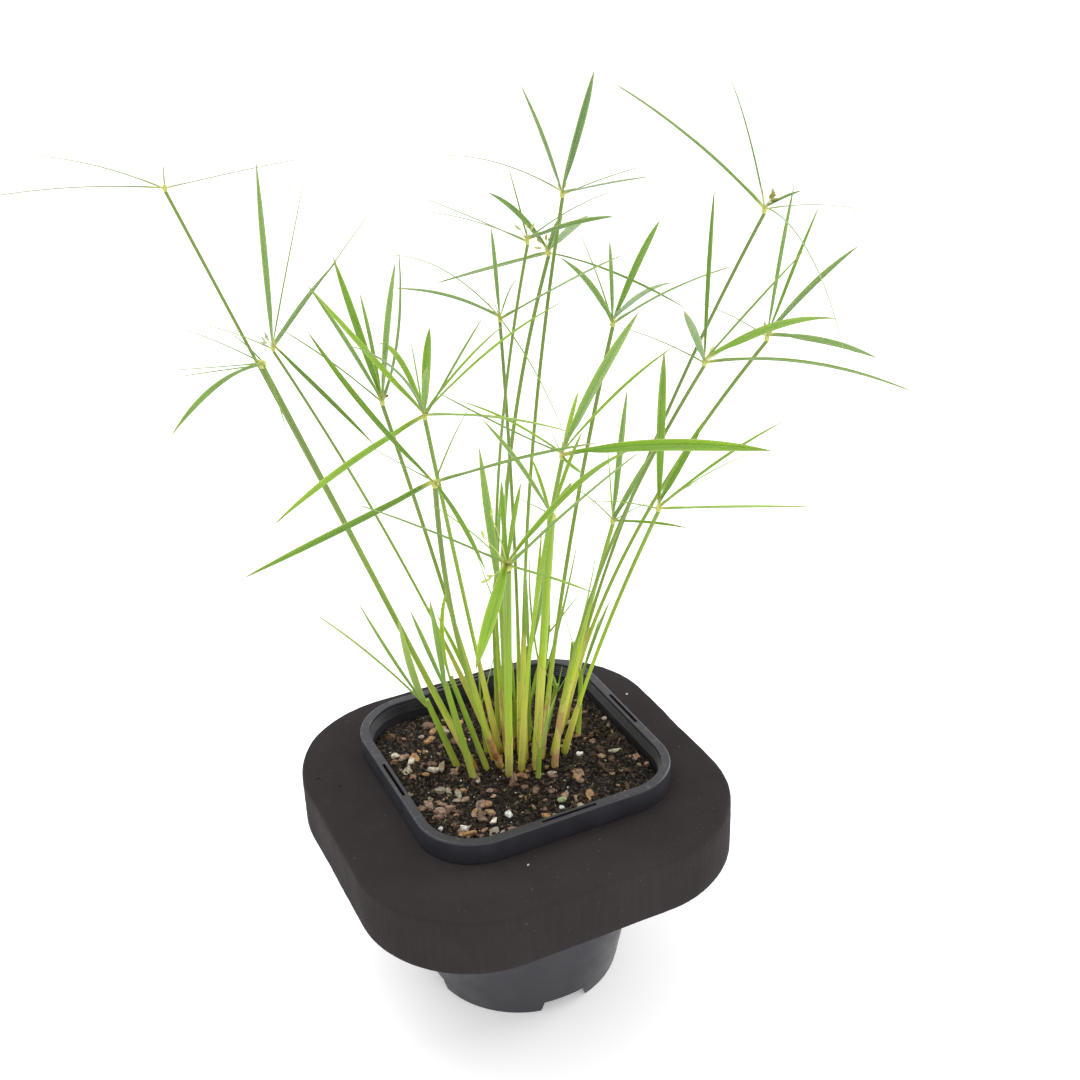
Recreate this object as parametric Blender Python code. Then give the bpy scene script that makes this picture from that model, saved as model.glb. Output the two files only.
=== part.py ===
"""Potted umbrella sedge: a square-topped nursery pot in a floating foam collar, filled with
soil, with a clump of stems that each carry an umbrella of long narrow leaves.

All sizes in this file are millimetres and degrees. They become metres when a mesh is made.
The pot's axis is Z, its foot stands on Z = 0, and its sides are square to X and Y.
"""
import math

import bmesh
import bpy
from mathutils import Vector

MM = 0.001
GAP = 0.3

# Pot: square rim, round foot
POT_HEIGHT = 131.0
RIM_HALF = 65.0
RIM_RADIUS = 29.0
FLANGE_WIDTH = 4.8
FLANGE_THICKNESS = 1.8
SKIRT_DEPTH = 11.3
SKIRT_THICKNESS = 1.3
WALL = 1.3
FOOT_RADIUS = 50.5
FOOT_WALL = 2.2
FLOOR_UNDERSIDE = 6.5
FLOOR_TOP = 8.0
SLOT_LENGTH = 28.0
SLOT_WIDTH = 1.5
SLOT_OFFSET = 0.4
NOTCH_WIDTH = 26.0
NOTCH_NARROWING = 4.0
NOTCH_REACH_IN = 8.0
NOTCH_REACH_OUT = 4.0
NOTCH_ROOF = FLOOR_UNDERSIDE - 0.2
CUT_MARGIN = 1.0
EDGE_CHAMFER = 0.7
SKIRT_FLARE = 0.2
LIP_DROP = 0.5

# Foam collar: a rounded square, a little off the pot's middle
COLLAR_HALF = 93.7
COLLAR_RADIUS = 58.0
COLLAR_THICKNESS = 30.0
COLLAR_CENTRE = (-4.7, -8.4)
COLLAR_EDGE = 3.0
COLLAR_LIP = 0.9

# Soil
SOIL_TOP = 119.6
SOIL_EDGE = SOIL_TOP - 3.0
WAIST = 60.0
SOIL_CLEARANCE = 0.5
SOIL_LUMP = 1.6
SOIL_RING_SHARES = (0.985, 0.8, 0.6, 0.38, 0.18)
CLUMP_CENTRE = (3.0, 0.0)
LEVEL_REACH = 30.8
LUMPY_REACH = 44.0

# Stems and leaves
STEM_START = SOIL_TOP + GAP
STEM_SIDES = 6
STEM_STEPS = 5
STEM_FOOT_RADIUS = 1.7
SHEATH_SHARE = 0.35
HUB_HEIGHT = 2.6
HUB_RADIUS = 2.3
HUB_GROWTH = 0.22
HUB_EASY_COUNT = 6
HUB_WIDE_GAP = 100.0
HUB_SPARE_TURN = 35.0
FORK_TAPER = 0.85
FORK_HEIGHT = 5.2
ACROSS = (0.906, -0.423)
BROAD, WIDE, MEDIUM, NARROW, THIN = 5.2, 3.9, 2.9, 2.0, 1.2
SHORT_LEAF = 45.0
LEAF_DEPTH = 0.35
LEAF_DEPTH_GROWTH = 0.14
LEAF_PIECES = 24

# Each stem: foot (x, y), hub (x, y, z), sideways bow along ACROSS, radius below the hub
STEMS = {
    "a": ((-17, 13), (-103, 125, 393), 0, 0.78),
    "b": ((-18, 4), (-99, 2, 347), 0, 1.25),
    "c": ((-2, 18), (-77, 69, 329), 11, 0.7),
    "d": ((-7, 5.5), (-41, 30, 309), 3, 0.95),
    "e": ((-6, -1), (-59, -77, 317), -12, 1.1),
    "f": ((-2, 10), (-40, -20, 320), -1, 0.95),
    "g": ((0.5, -8.5), (0, -66, 311), -7, 1.0),
    "h": ((-6, -8), (-42, -102, 289), 0, 1.8),
    "i": ((7, -10.5), (8, -37, 269), 0, 1.9),
    "j": ((5.5, 3), (24, 44, 332), 4, 0.85),
    "k": ((19, -5), (49, -17, 248), -2, 1.0),
    "l": ((26, -4), (30, -91, 291), -6, 0.9),
    "m": ((12.5, -5.5), (76, 31, 324), -7, 1.0),
    "n": ((4, 9.5), (65, 75, 349), -25, 1.0),
    "o": ((-0.5, 3.5), (20, 2, 379), -20, 0.72),
    "p": ((5, -3.5), (45, 18, 392), -13, 0.85),
    "q": ((29, 8.5), (113, -36, 387), -20, 0.8),
    "r": ((34, 14), (142, 0, 314), -31, 0.95),
    "s": ((16, -14), (64, -69, 339), -26, 0.8),
}

# Each umbrella's leaves: heading, rise at the hub, length, width, how far the rise falls by the tip
UMBRELLAS = {
    "a": ((300, 15, 90, THIN, 2), (75, 35, 16, THIN, 20), (190, 14, 114, THIN, 20),
          (135, 20, 76, THIN, 20)),
    "b": ((210, 15, 54, THIN, 0), (235, 18, 92, WIDE, 25), (185, 5, 36, THIN, 0),
          (160, 35, 34, THIN, 10), (110, 30, 22, THIN, 20), (262, 2, 60, THIN, 20)),
    "c": ((260, 65, 103, MEDIUM, 0), (56, 43, 95, THIN, 8), (280, 39, 93, WIDE, 3),
          (33, 30, 92, THIN, 0), (150, 30, 40, THIN, 20), (290, -24, 74, MEDIUM, 0)),
    "d": ((228, 54, 95, MEDIUM, 7), (88, 44, 76, WIDE, 0), (262, 60, 96, MEDIUM, 8),
          (75, 18, 90, NARROW, 5), (178, 50, 60, NARROW, 10), (308, 64, 73, WIDE, -28)),
    "e": ((106, 21, 90, MEDIUM, -14), (209, 0, 97, BROAD, -5), (170, 38, 37, THIN, 0),
          (45, 34, 41, THIN, 19), (290, 28, 91, WIDE, 5), (266, -3, 56, NARROW, 17)),
    "f": ((213, 0, 96, BROAD, 8), (104, 23, 91, WIDE, -4), (190, 76, 51, MEDIUM, 50),
          (90, 50, 61, MEDIUM, 70), (145, 85, 34, NARROW, 0), (62, 45, 44, WIDE, 19),
          (255, 63, 38, MEDIUM, 22), (42, 15, 88, NARROW, 17), (305, 57, 57, NARROW, 0),
          (20, 28, 90, NARROW, 21), (286, 18, 92, MEDIUM, 11)),
    "g": ((273, 56, 95, BROAD, 7), (304, 21, 92, BROAD, 16), (28, 21, 89, NARROW, 17),
          (49, 35, 35, NARROW, 20), (209, 33, 93, NARROW, -4), (255, 9, 36, NARROW, -8),
          (130, 30, 48, NARROW, 20)),
    "h": ((30, 23, 103, WIDE, 34), (290, 48, 93, WIDE, 5), (208, 39, 92, WIDE, 4),
          (235, -5, 59, BROAD, 9), (280, 13, 56, NARROW, 0), (68, 37, 44, NARROW, 29),
          (52, 50, 36, NARROW, 27), (130, 45, 40, THIN, 25)),
    "i": ((221, 53, 94, MEDIUM, 9), (135, 28, 20, THIN, 14), (44, 36, 52, NARROW, 23),
          (278, 55, 28, MEDIUM, 5), (85, 50, 30, NARROW, 14)),
    "j": ((215, 32, 91, WIDE, 14), (104, 28, 97, THIN, 43), (242, 66, 64, NARROW, 19),
          (286, 32, 92, WIDE, 4), (47, 38, 35, THIN, 40), (262, -4, 96, THIN, 26)),
    "k": ((250, 60, 97, MEDIUM, 0), (273, 55, 66, BROAD, 0),
          (66, 40, 51, THIN, 26), (295, 15, 41, MEDIUM, 7), (347, 28, 21, THIN, 10),
          (110, 34, 39, THIN, 34)),
    "l": ((58, 34, 92, WIDE, 21), (41, 13, 60, WIDE, 0), (22, 9, 89, NARROW, 7),
          (5, 28, 51, THIN, 28), (305, 48, 32, THIN, 25), (277, 23, 92, MEDIUM, 2),
          (172, 26, 34, THIN, 20)),
    "m": ((204, 61, 57, BROAD, 26), (44, 26, 91, WIDE, 17), (241, 65, 60, NARROW, 17),
          (73, 25, 91, THIN, 22), (17, 30, 42, BROAD, 33), (280, 36, 92, WIDE, 12)),
    "n": ((99, 40, 56, WIDE, 36), (212, 7, 93, BROAD, 0), (285, 4, 93, NARROW, 18),
          (19, 29, 31, BROAD, 14), (262, 51, 33, WIDE, 9)),
    "o": ((273, 22, 75, BROAD, 5), (219, 26, 92, THIN, 2), (76, 38, 43, THIN, 13),
          (160, 30, 45, THIN, 20), (10, 25, 50, THIN, 20)),
    "p": ((233, 42, 93, NARROW, 5), (52, 25, 91, WIDE, 2), (258, 60, 44, THIN, 16),
          (295, 17, 47, WIDE, 3), (350, 18, 38, THIN, 9), (102, 13, 92, THIN, 23)),
    "q": ((183, 46, 93, WIDE, 13), (67, 36, 92, THIN, 21), (18, -4, 89, THIN, 18),
          (330, 28, 16, MEDIUM, 6), (255, 9, 113, THIN, 60)),
    "r": ((247, 64, 92, NARROW, 0), (39, 27, 92, NARROW, -3), (266, 45, 93, BROAD, 7),
          (4, -13, 76, BROAD, 15), (290, 12, 50, MEDIUM, 17), (130, 30, 45, THIN, 20)),
    "s": ((57, 43, 95, NARROW, 19), (215, 59, 37, WIDE, 12), (18, 10, 92, BROAD, 26),
          (293, 20, 94, WIDE, 28), (268, 44, 93, NARROW, 2), (140, 30, 45, THIN, 20)),
}

# Young shoots and loose leaves: foot (x, y), fork (x, y, z), radius at the foot, leaves
SHOOTS = {
    "left": ((-25, 10), (-38, 13, 157), 1.8,
             ((195, 58, 92, WIDE, 8), (215, 57, 94, MEDIUM, -9), (240, 45, 97, WIDE, -25),
              (91, 35, 22, THIN, 20))),
    "front_left": ((-22, -3), (-34, -4, 175), 1.9,
                   ((245, 57, 95, MEDIUM, 0), (210, 67, 58, WIDE, -5), (140, 84, 47, MEDIUM, 0))),
    "twisted": ((-13, 0), (-28, 4, 172), 1.6,
                ((120, 72, 56, MEDIUM, -40), (239, 61, 29, THIN, 0))),
    "upright": ((-2.5, -3), (-1, 2, 211), 1.6,
                ((238, 71, 100, WIDE, 0), (330, 82, 66, MEDIUM, -8))),
    "behind": ((12, 2), (20, 4, 160), 1.4,
               ((282, 66, 94, NARROW, -10), (119, 76, 68, NARROW, -20))),
    "right": ((38, 3), (43, 7, 152), 1.5,
              ((284, 70, 59, MEDIUM, 5), (30, 58, 34, THIN, 7), (140, 80, 45, THIN, 5))),
    "short_front": ((5, -18), (6, -20, 134), 1.4,
                    ((300, 78, 40, MEDIUM, 5), (30, 72, 32, THIN, 0), (180, 80, 22, THIN, 0))),
    "short_back": ((-8, 13), (-9, 16, 145), 1.4,
                   ((130, 72, 55, MEDIUM, 10), (20, 68, 40, THIN, 5), (250, 76, 48, THIN, 0))),
    "centre": ((13.5, 10.5), (13.5, 5, 176), 1.5,
               ((25, 74, 66, NARROW, -8), (340, 72, 82, NARROW, -14), (288, 68, 75, MEDIUM, -18),
                (245, 74, 60, NARROW, -14))),
    "dark_blades": ((9, 18), (11, 19, 137), 1.4,
                    ((320, 80, 38, NARROW, 0), (75, 76, 34, NARROW, 0), (20, 70, 28, NARROW, 0))),
    "blade_mid": ((17, 17), (17, 15, 138), 1.5,
                  ((305, 74, 33, MEDIUM, 0), (20, 70, 25, NARROW, 0))),
    "tuft": ((24, 14), (31, 11, 145), 1.5,
             ((130, 60, 15, THIN, 0), (225, 66, 18, NARROW, 0), (310, 62, 16, NARROW, 0),
              (40, 54, 13, THIN, 0))),
    "right_dark": ((40.5, 21), (45, 19.5, 161), 1.5,
                   ((306, 72, 61, MEDIUM, -10), (359, 66, 31, NARROW, -10))),
    "pale": ((23, 21), (31, 18, 176), 1.4,
             ((335, 54, 27, NARROW, 0), (60, 72, 40, NARROW, -8))),
    "back_stub": ((3, 24), (4.5, 24, 199), 1.4,
                  ((299, 80, 66, WIDE, -6), (120, 70, 30, THIN, 0))),
}

# Leaf outline: share of the length, share of the width
LEAF_STATIONS = ((0.10, 0.60), (0.36, 0.95), (0.64, 0.95), (0.88, 0.50))
SHORT_LEAF_STATIONS = ((0.16, 0.75), (0.5, 1.0))
KEEL_SHARE = 0.22


def clear_scene():
    for obj in list(bpy.data.objects):
        bpy.data.objects.remove(obj, do_unlink=True)


def make_material(name, colour, roughness):
    """A plain Principled surface."""
    material = bpy.data.materials.new(name)
    material.use_nodes = True
    shader = material.node_tree.nodes["Principled BSDF"]
    shader.inputs["Base Color"].default_value = (*colour, 1.0)
    shader.inputs["Roughness"].default_value = roughness
    shader.inputs["Metallic"].default_value = 0.0
    return material


def finish_object(name, bm, material, smooth_angle=None):
    """Turn a bmesh in millimetres into a named object in metres."""
    bmesh.ops.recalc_face_normals(bm, faces=bm.faces)
    bmesh.ops.triangulate(bm, faces=bm.faces[:], quad_method="SHORT_EDGE")
    bmesh.ops.scale(bm, vec=(MM, MM, MM), verts=bm.verts)
    mesh = bpy.data.meshes.new(name)
    bm.to_mesh(mesh)
    bm.free()
    mesh.materials.append(material)
    if smooth_angle is not None:
        mesh.shade_smooth()
        mesh.set_sharp_from_angle(angle=math.radians(smooth_angle))
    obj = bpy.data.objects.new(name, mesh)
    bpy.context.scene.collection.objects.link(obj)
    return obj


def mix(start, end, share):
    return start + (end - start) * share


def loop_angles(half, radius, corner_steps=6, side_steps=3):
    """Directions from the centre that follow a rounded square: close together at its corners."""
    straight = half - radius
    angles = []
    for quarter in range(4):
        for step in range(corner_steps + 1):
            turn = math.pi / 2 * step / corner_steps
            x = straight + radius * math.cos(turn)
            y = straight + radius * math.sin(turn)
            angles.append(math.atan2(y, x) + quarter * math.pi / 2)
        for step in range(1, side_steps):
            x = mix(straight, -straight, step / side_steps)
            angles.append(math.atan2(half, x) + quarter * math.pi / 2)
    return angles


ANGLES = loop_angles(RIM_HALF, RIM_RADIUS)


def reach_of_rounded_square(angle, half, radius):
    """Distance from the centre to the edge of a rounded square, or of a circle if radius is half."""
    along = max(abs(math.cos(angle)), abs(math.sin(angle)))
    aside = min(abs(math.cos(angle)), abs(math.sin(angle)))
    straight = half - radius
    if half * aside <= straight * along:
        return half / along
    return straight * (along + aside) + math.sqrt(radius ** 2 - (straight * (along - aside)) ** 2)


def ring_points(half, radius, height, centre=(0.0, 0.0)):
    points = []
    for angle in ANGLES:
        reach = reach_of_rounded_square(angle, half, radius)
        x = centre[0] + reach * math.cos(angle)
        y = centre[1] + reach * math.sin(angle)
        points.append(Vector((x, y, height)))
    return points


def add_ring(bm, points):
    return [bm.verts.new(point) for point in points]


def join_rings(bm, lower, upper):
    count = len(lower)
    for index in range(count):
        following = (index + 1) % count
        bm.faces.new((lower[index], lower[following], upper[following], upper[index]))


def join_all(bm, rings, closed=False):
    pairs = list(zip(rings, rings[1:]))
    if closed:
        pairs.append((rings[-1], rings[0]))
    for lower, upper in pairs:
        join_rings(bm, lower, upper)


def pot_wall(height, inset=0.0):
    """Half width and corner radius of the pot's outer wall, which turns from round to square."""
    share = height / (POT_HEIGHT - FLANGE_THICKNESS)
    half = mix(FOOT_RADIUS, RIM_HALF - FLANGE_WIDTH + WALL, share)
    radius = mix(FOOT_RADIUS, RIM_RADIUS - FLANGE_WIDTH + WALL, share)
    return half - inset, radius - inset


def box_cutter(name, corners_low, corners_high):
    """A closed block between two four-cornered faces, used only to cut."""
    bm = bmesh.new()
    low = [bm.verts.new(corner) for corner in corners_low]
    high = [bm.verts.new(corner) for corner in corners_high]
    bm.faces.new(low)
    bm.faces.new(high)
    join_rings(bm, low, high)
    cutter = finish_object(name, bm, CUTTER_MATERIAL)
    cutter.hide_render = True
    cutter.display_type = "WIRE"
    return cutter


def cut(target, cutter):
    modifier = target.modifiers.new("cut_" + cutter.name, "BOOLEAN")
    modifier.operation = "DIFFERENCE"
    modifier.solver = "EXACT"
    modifier.object = cutter


def build_pot(material):
    """The pot: foot ring, raised floor, flaring wall, and a flange with a hanging skirt."""
    top = POT_HEIGHT
    under_flange = top - FLANGE_THICKNESS
    skirt_end = top - SKIRT_DEPTH
    collar_top = skirt_end - GAP
    collar_bottom = collar_top - COLLAR_THICKNESS
    foot_inside = FOOT_RADIUS - FOOT_WALL
    flared = RIM_HALF + SKIRT_FLARE
    flared_radius = RIM_RADIUS + SKIRT_FLARE
    lip = RIM_HALF - FLANGE_WIDTH
    lip_radius = RIM_RADIUS - FLANGE_WIDTH
    floor_reach, floor_round = pot_wall(FLOOR_TOP, WALL)
    profile = [
        (foot_inside, foot_inside, FLOOR_UNDERSIDE),
        (foot_inside, foot_inside, 0.0),
        (FOOT_RADIUS - EDGE_CHAMFER, FOOT_RADIUS - EDGE_CHAMFER, 0.0),
        (*pot_wall(EDGE_CHAMFER), EDGE_CHAMFER),
        (*pot_wall(WAIST), WAIST),
        (*pot_wall(collar_bottom), collar_bottom),
        (*pot_wall(collar_top), collar_top),
        (*pot_wall(under_flange), under_flange),
        (RIM_HALF - SKIRT_THICKNESS, RIM_RADIUS - SKIRT_THICKNESS, under_flange),
        (flared - SKIRT_THICKNESS, flared_radius - SKIRT_THICKNESS, skirt_end),
        (flared, flared_radius, skirt_end),
        (RIM_HALF, RIM_RADIUS, top - EDGE_CHAMFER),
        (RIM_HALF - EDGE_CHAMFER, RIM_RADIUS - EDGE_CHAMFER, top),
        (lip + LIP_DROP, lip_radius + LIP_DROP, top),
        (lip, lip_radius, top - LIP_DROP),
        (*pot_wall(SOIL_EDGE, WALL), SOIL_EDGE),
        (*pot_wall(WAIST, WALL), WAIST),
        (floor_reach, floor_round, FLOOR_TOP),
    ]
    bm = bmesh.new()
    rings = [add_ring(bm, ring_points(*level)) for level in profile]
    join_all(bm, rings)
    bm.faces.new(rings[0])
    bm.faces.new(rings[-1])
    pot = finish_object("pot", bm, material, smooth_angle=40)
    for index in range(4):
        side = index * math.pi / 2
        cut(pot, slot_cutter(index, side))
        cut(pot, notch_cutter(index, side))
    return pot


def turned(points, angle):
    """The points turned about the pot's axis."""
    cosine = math.cos(angle)
    sine = math.sin(angle)
    return [(x * cosine - y * sine, x * sine + y * cosine, z) for x, y, z in points]


def slot_cutter(index, side):
    """Cuts a narrow slot through the flange in the middle of a side."""
    inner = RIM_HALF - FLANGE_WIDTH + WALL + SLOT_OFFSET
    outer = inner + SLOT_WIDTH
    half_length = SLOT_LENGTH / 2
    corners = ((inner, -half_length), (outer, -half_length), (outer, half_length), (inner, half_length))
    low = turned([(x, y, POT_HEIGHT - FLANGE_THICKNESS - CUT_MARGIN) for x, y in corners], side)
    high = turned([(x, y, POT_HEIGHT + CUT_MARGIN) for x, y in corners], side)
    return box_cutter(f"slot_cutter_{index}", low, high)


def notch_cutter(index, side):
    """Cuts a drain notch with sloping ends through the foot ring."""
    inner = FOOT_RADIUS - FOOT_WALL - NOTCH_REACH_IN
    outer = FOOT_RADIUS + NOTCH_REACH_OUT
    wide = NOTCH_WIDTH / 2
    narrow = wide - NOTCH_NARROWING / 2
    low_corners = ((inner, -wide), (outer, -wide), (outer, wide), (inner, wide))
    high_corners = ((inner, -narrow), (outer, -narrow), (outer, narrow), (inner, narrow))
    low = turned([(x, y, -CUT_MARGIN) for x, y in low_corners], side)
    high = turned([(x, y, NOTCH_ROOF) for x, y in high_corners], side)
    return box_cutter(f"notch_cutter_{index}", low, high)


def build_collar(material):
    """The foam collar: a thick rounded square with a hole that fits the pot's flaring wall."""
    top = POT_HEIGHT - SKIRT_DEPTH - GAP
    bottom = top - COLLAR_THICKNESS
    profile = [
        (-COLLAR_EDGE, bottom),
        (-COLLAR_LIP, bottom + COLLAR_LIP),
        (0.0, bottom + COLLAR_EDGE),
        (0.0, top - COLLAR_EDGE),
        (-COLLAR_LIP, top - COLLAR_LIP),
        (-COLLAR_EDGE, top),
    ]
    bm = bmesh.new()
    rings = []
    for inset, height in profile:
        half = COLLAR_HALF + inset
        rings.append(add_ring(bm, ring_points(half, COLLAR_RADIUS + inset, height, COLLAR_CENTRE)))
    for height in (top, bottom):
        rings.append(add_ring(bm, ring_points(*pot_wall(height, -GAP), height)))
    join_all(bm, rings, closed=True)
    return finish_object("foam_collar", bm, material, smooth_angle=50)


def soil_height(x, y):
    """Lumpy surface, level where the stems stand."""
    away = math.hypot(x - CLUMP_CENTRE[0], y - CLUMP_CENTRE[1])
    share = min(1.0, max(0.0, (away - LEVEL_REACH) / (LUMPY_REACH - LEVEL_REACH)))
    lump = math.sin(0.31 * x + 1.3) * math.cos(0.27 * y - 0.4) + 0.5 * math.sin(0.63 * y + 0.5 * x)
    return SOIL_TOP + SOIL_LUMP * share * lump


def build_soil(material):
    """The soil fills the pot to just under its rim."""
    bm = bmesh.new()
    floor = FLOOR_TOP + GAP
    rings = []
    for height in (floor, WAIST, SOIL_EDGE):
        half, radius = pot_wall(height, WALL + SOIL_CLEARANCE)
        rings.append(add_ring(bm, ring_points(half, radius, height)))
    half, radius = pot_wall(SOIL_TOP, WALL + SOIL_CLEARANCE)
    for share in SOIL_RING_SHARES:
        points = ring_points(half * share, radius * share, SOIL_TOP)
        for point in points:
            point.z = soil_height(point.x, point.y)
        rings.append(add_ring(bm, points))
    join_all(bm, rings)
    bm.faces.new(rings[0])
    bm.faces.new(rings[-1])
    return finish_object("soil", bm, material, smooth_angle=60)


def stem_path(foot, hub, bow, steps):
    """Points along a stem that bends sideways in one smooth arc."""
    start = Vector((foot[0], foot[1], STEM_START))
    end = Vector((hub[0], hub[1], hub[2] - GAP))
    middle = (start + end) / 2 + Vector((ACROSS[0] * bow, ACROSS[1] * bow, 0.0))
    points = []
    for step in range(steps + 1):
        share = step / steps
        rest = 1.0 - share
        points.append(start * rest ** 2 + middle * 2.0 * share * rest + end * share ** 2)
    return points


def build_stem(name, foot, hub, bow, top_radius, material):
    """One tapering stem, from the soil to just under its umbrella."""
    bm = bmesh.new()
    rings = []
    points = stem_path(foot, hub, bow, STEM_STEPS)
    for step, point in enumerate(points):
        share = min(1.0, step / STEM_STEPS / SHEATH_SHARE)
        radius = mix(STEM_FOOT_RADIUS, top_radius, share)
        ring = []
        for side in range(STEM_SIDES):
            turn = 2.0 * math.pi * side / STEM_SIDES
            ring.append(point + Vector((radius * math.cos(turn), radius * math.sin(turn), 0.0)))
        rings.append(add_ring(bm, ring))
    join_all(bm, rings)
    bm.faces.new(rings[0])
    bm.faces.new(rings[-1])
    return finish_object("stem_" + name, bm, material, smooth_angle=70)


def leaf_frames(root, heading, rise, length, fall, shares):
    """Centre, sideways and upward directions at each share of a leaf's length."""
    turn = math.radians(heading)
    outward = Vector((math.cos(turn), math.sin(turn), 0.0))
    aside = Vector((-math.sin(turn), math.cos(turn), 0.0))
    frames = []
    point = root.copy()
    reached = 0
    for share in shares:
        while reached < round(share * LEAF_PIECES):
            pitch = math.radians(rise - fall * (reached + 0.5) / LEAF_PIECES)
            step = outward * math.cos(pitch) + Vector((0.0, 0.0, math.sin(pitch)))
            point = point + step * (length / LEAF_PIECES)
            reached += 1
        pitch = math.radians(rise - fall * share)
        upward = Vector((0.0, 0.0, math.cos(pitch))) - outward * math.sin(pitch)
        frames.append((point.copy(), aside, upward))
    return frames


def hub_corners(headings, radius):
    """Corner directions of a hub with one side for each leaf, and spare sides in wide gaps."""
    corners = []
    count = len(headings)
    for index, heading in enumerate(headings):
        following = headings[(index + 1) % count] + (360.0 if index == count - 1 else 0.0)
        spread = following - heading
        if spread > HUB_WIDE_GAP:
            turns = [heading + HUB_SPARE_TURN, following - HUB_SPARE_TURN]
        else:
            turns = [heading + spread / 2]
        group = []
        for turn in turns:
            angle = math.radians(turn)
            group.append(Vector((radius * math.cos(angle), radius * math.sin(angle), 0.0)))
        corners.append(group)
    return corners


def add_hub(bm, centre, headings, radius, height):
    """A low prism. Returns its lower and upper rings and each leaf's open side."""
    lower = []
    upper = []
    last_corner = []
    first_corner = []
    for group in hub_corners(headings, radius):
        first_corner.append(len(lower))
        for corner in group:
            lower.append(bm.verts.new(centre + corner))
            upper.append(bm.verts.new(centre + corner + Vector((0.0, 0.0, height))))
        last_corner.append(len(lower) - 1)
    count = len(lower)
    open_sides = []
    for index in range(len(headings)):
        right = last_corner[index - 1]
        left = first_corner[index]
        open_sides.append((upper[left], upper[right], lower[right], lower[left]))
    taken = {last_corner[index - 1] for index in range(len(headings))}
    for index in range(count):
        if index not in taken:
            following = (index + 1) % count
            bm.faces.new((lower[index], lower[following], upper[following], upper[index]))
    return lower, upper, open_sides


def add_leaf(bm, side, leaf):
    """Grow one keeled leaf out of an open side of the hub."""
    heading, rise, length, width, fall = leaf
    stations = LEAF_STATIONS if length >= SHORT_LEAF else SHORT_LEAF_STATIONS
    shares = [share for share, _ in stations] + [1.0]
    root = sum((vert.co for vert in side), Vector()) / 4
    frames = leaf_frames(root, heading, rise, length, fall, shares)
    previous = list(side)
    for (centre, aside, upward), (_, width_share) in zip(frames, stations):
        half = width * width_share / 2
        keel = half * KEEL_SHARE
        depth = LEAF_DEPTH + LEAF_DEPTH_GROWTH * width * width_share
        section = [
            bm.verts.new(centre + aside * half + upward * depth * 0.5),
            bm.verts.new(centre - aside * half + upward * depth * 0.5),
            bm.verts.new(centre - aside * keel - upward * depth),
            bm.verts.new(centre + aside * keel - upward * depth),
        ]
        join_rings(bm, previous, section)
        previous = section
    tip = bm.verts.new(frames[-1][0])
    for index in range(4):
        bm.faces.new((previous[index], previous[(index + 1) % 4], tip))


def build_umbrella(name, hub, leaves, material):
    """A hub with its leaves, one closed solid."""
    bm = bmesh.new()
    ordered = sorted(leaves)
    centre = Vector(hub)
    radius = HUB_RADIUS + HUB_GROWTH * max(0, len(leaves) - HUB_EASY_COUNT)
    lower, upper, sides = add_hub(bm, centre, [leaf[0] for leaf in ordered], radius, HUB_HEIGHT)
    bm.faces.new(lower)
    bm.faces.new(upper)
    for side, leaf in zip(sides, ordered):
        add_leaf(bm, side, leaf)
    return finish_object("umbrella_" + name, bm, material, smooth_angle=35)


def build_shoot(name, foot, fork, radius, leaves, material):
    """A young shoot: a short stem that opens straight into a few upright leaves."""
    bm = bmesh.new()
    ordered = sorted(leaves)
    start = Vector((foot[0], foot[1], STEM_START))
    centre = Vector(fork)
    headings = [leaf[0] for leaf in ordered]
    lower, upper, sides = add_hub(bm, centre, headings, radius * FORK_TAPER, FORK_HEIGHT)
    bm.faces.new(upper)
    base = [bm.verts.new(start + (vert.co - centre) / FORK_TAPER) for vert in lower]
    join_rings(bm, base, lower)
    bm.faces.new(base)
    for side, leaf in zip(sides, ordered):
        add_leaf(bm, side, leaf)
    return finish_object("shoot_" + name, bm, material, smooth_angle=35)


clear_scene()
CUTTER_MATERIAL = make_material("cutter", (0.5, 0.5, 0.5), 0.5)

build_pot(make_material("pot_plastic", (0.022, 0.023, 0.028), 0.42))
build_collar(make_material("collar_foam", (0.030, 0.026, 0.024), 0.9))
build_soil(make_material("potting_soil", (0.035, 0.026, 0.020), 0.95))

stem_green = make_material("stem_green", (0.22, 0.36, 0.06), 0.5)
leaf_green = make_material("leaf_green", (0.13, 0.30, 0.04), 0.5)
shoot_green = make_material("shoot_green", (0.30, 0.48, 0.06), 0.5)

for stem_name, (foot, hub, bow, top_radius) in STEMS.items():
    build_stem(stem_name, foot, hub, bow, top_radius, stem_green)
    build_umbrella(stem_name, hub, UMBRELLAS[stem_name], leaf_green)

for shoot_name, (foot, fork, radius, leaves) in SHOOTS.items():
    build_shoot(shoot_name, foot, fork, radius, leaves, shoot_green)
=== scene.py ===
"""Looks of the potted umbrella sedge: camera, light, and a fine piece over every solid.

Lengths below are millimetres and angles are degrees, until a mesh is made in metres.
The frame is the solids' own: the pot's axis is Z and its foot stands on Z = 0.
"""
import math
import random

import bpy
from mathutils import Matrix, Vector, noise


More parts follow.
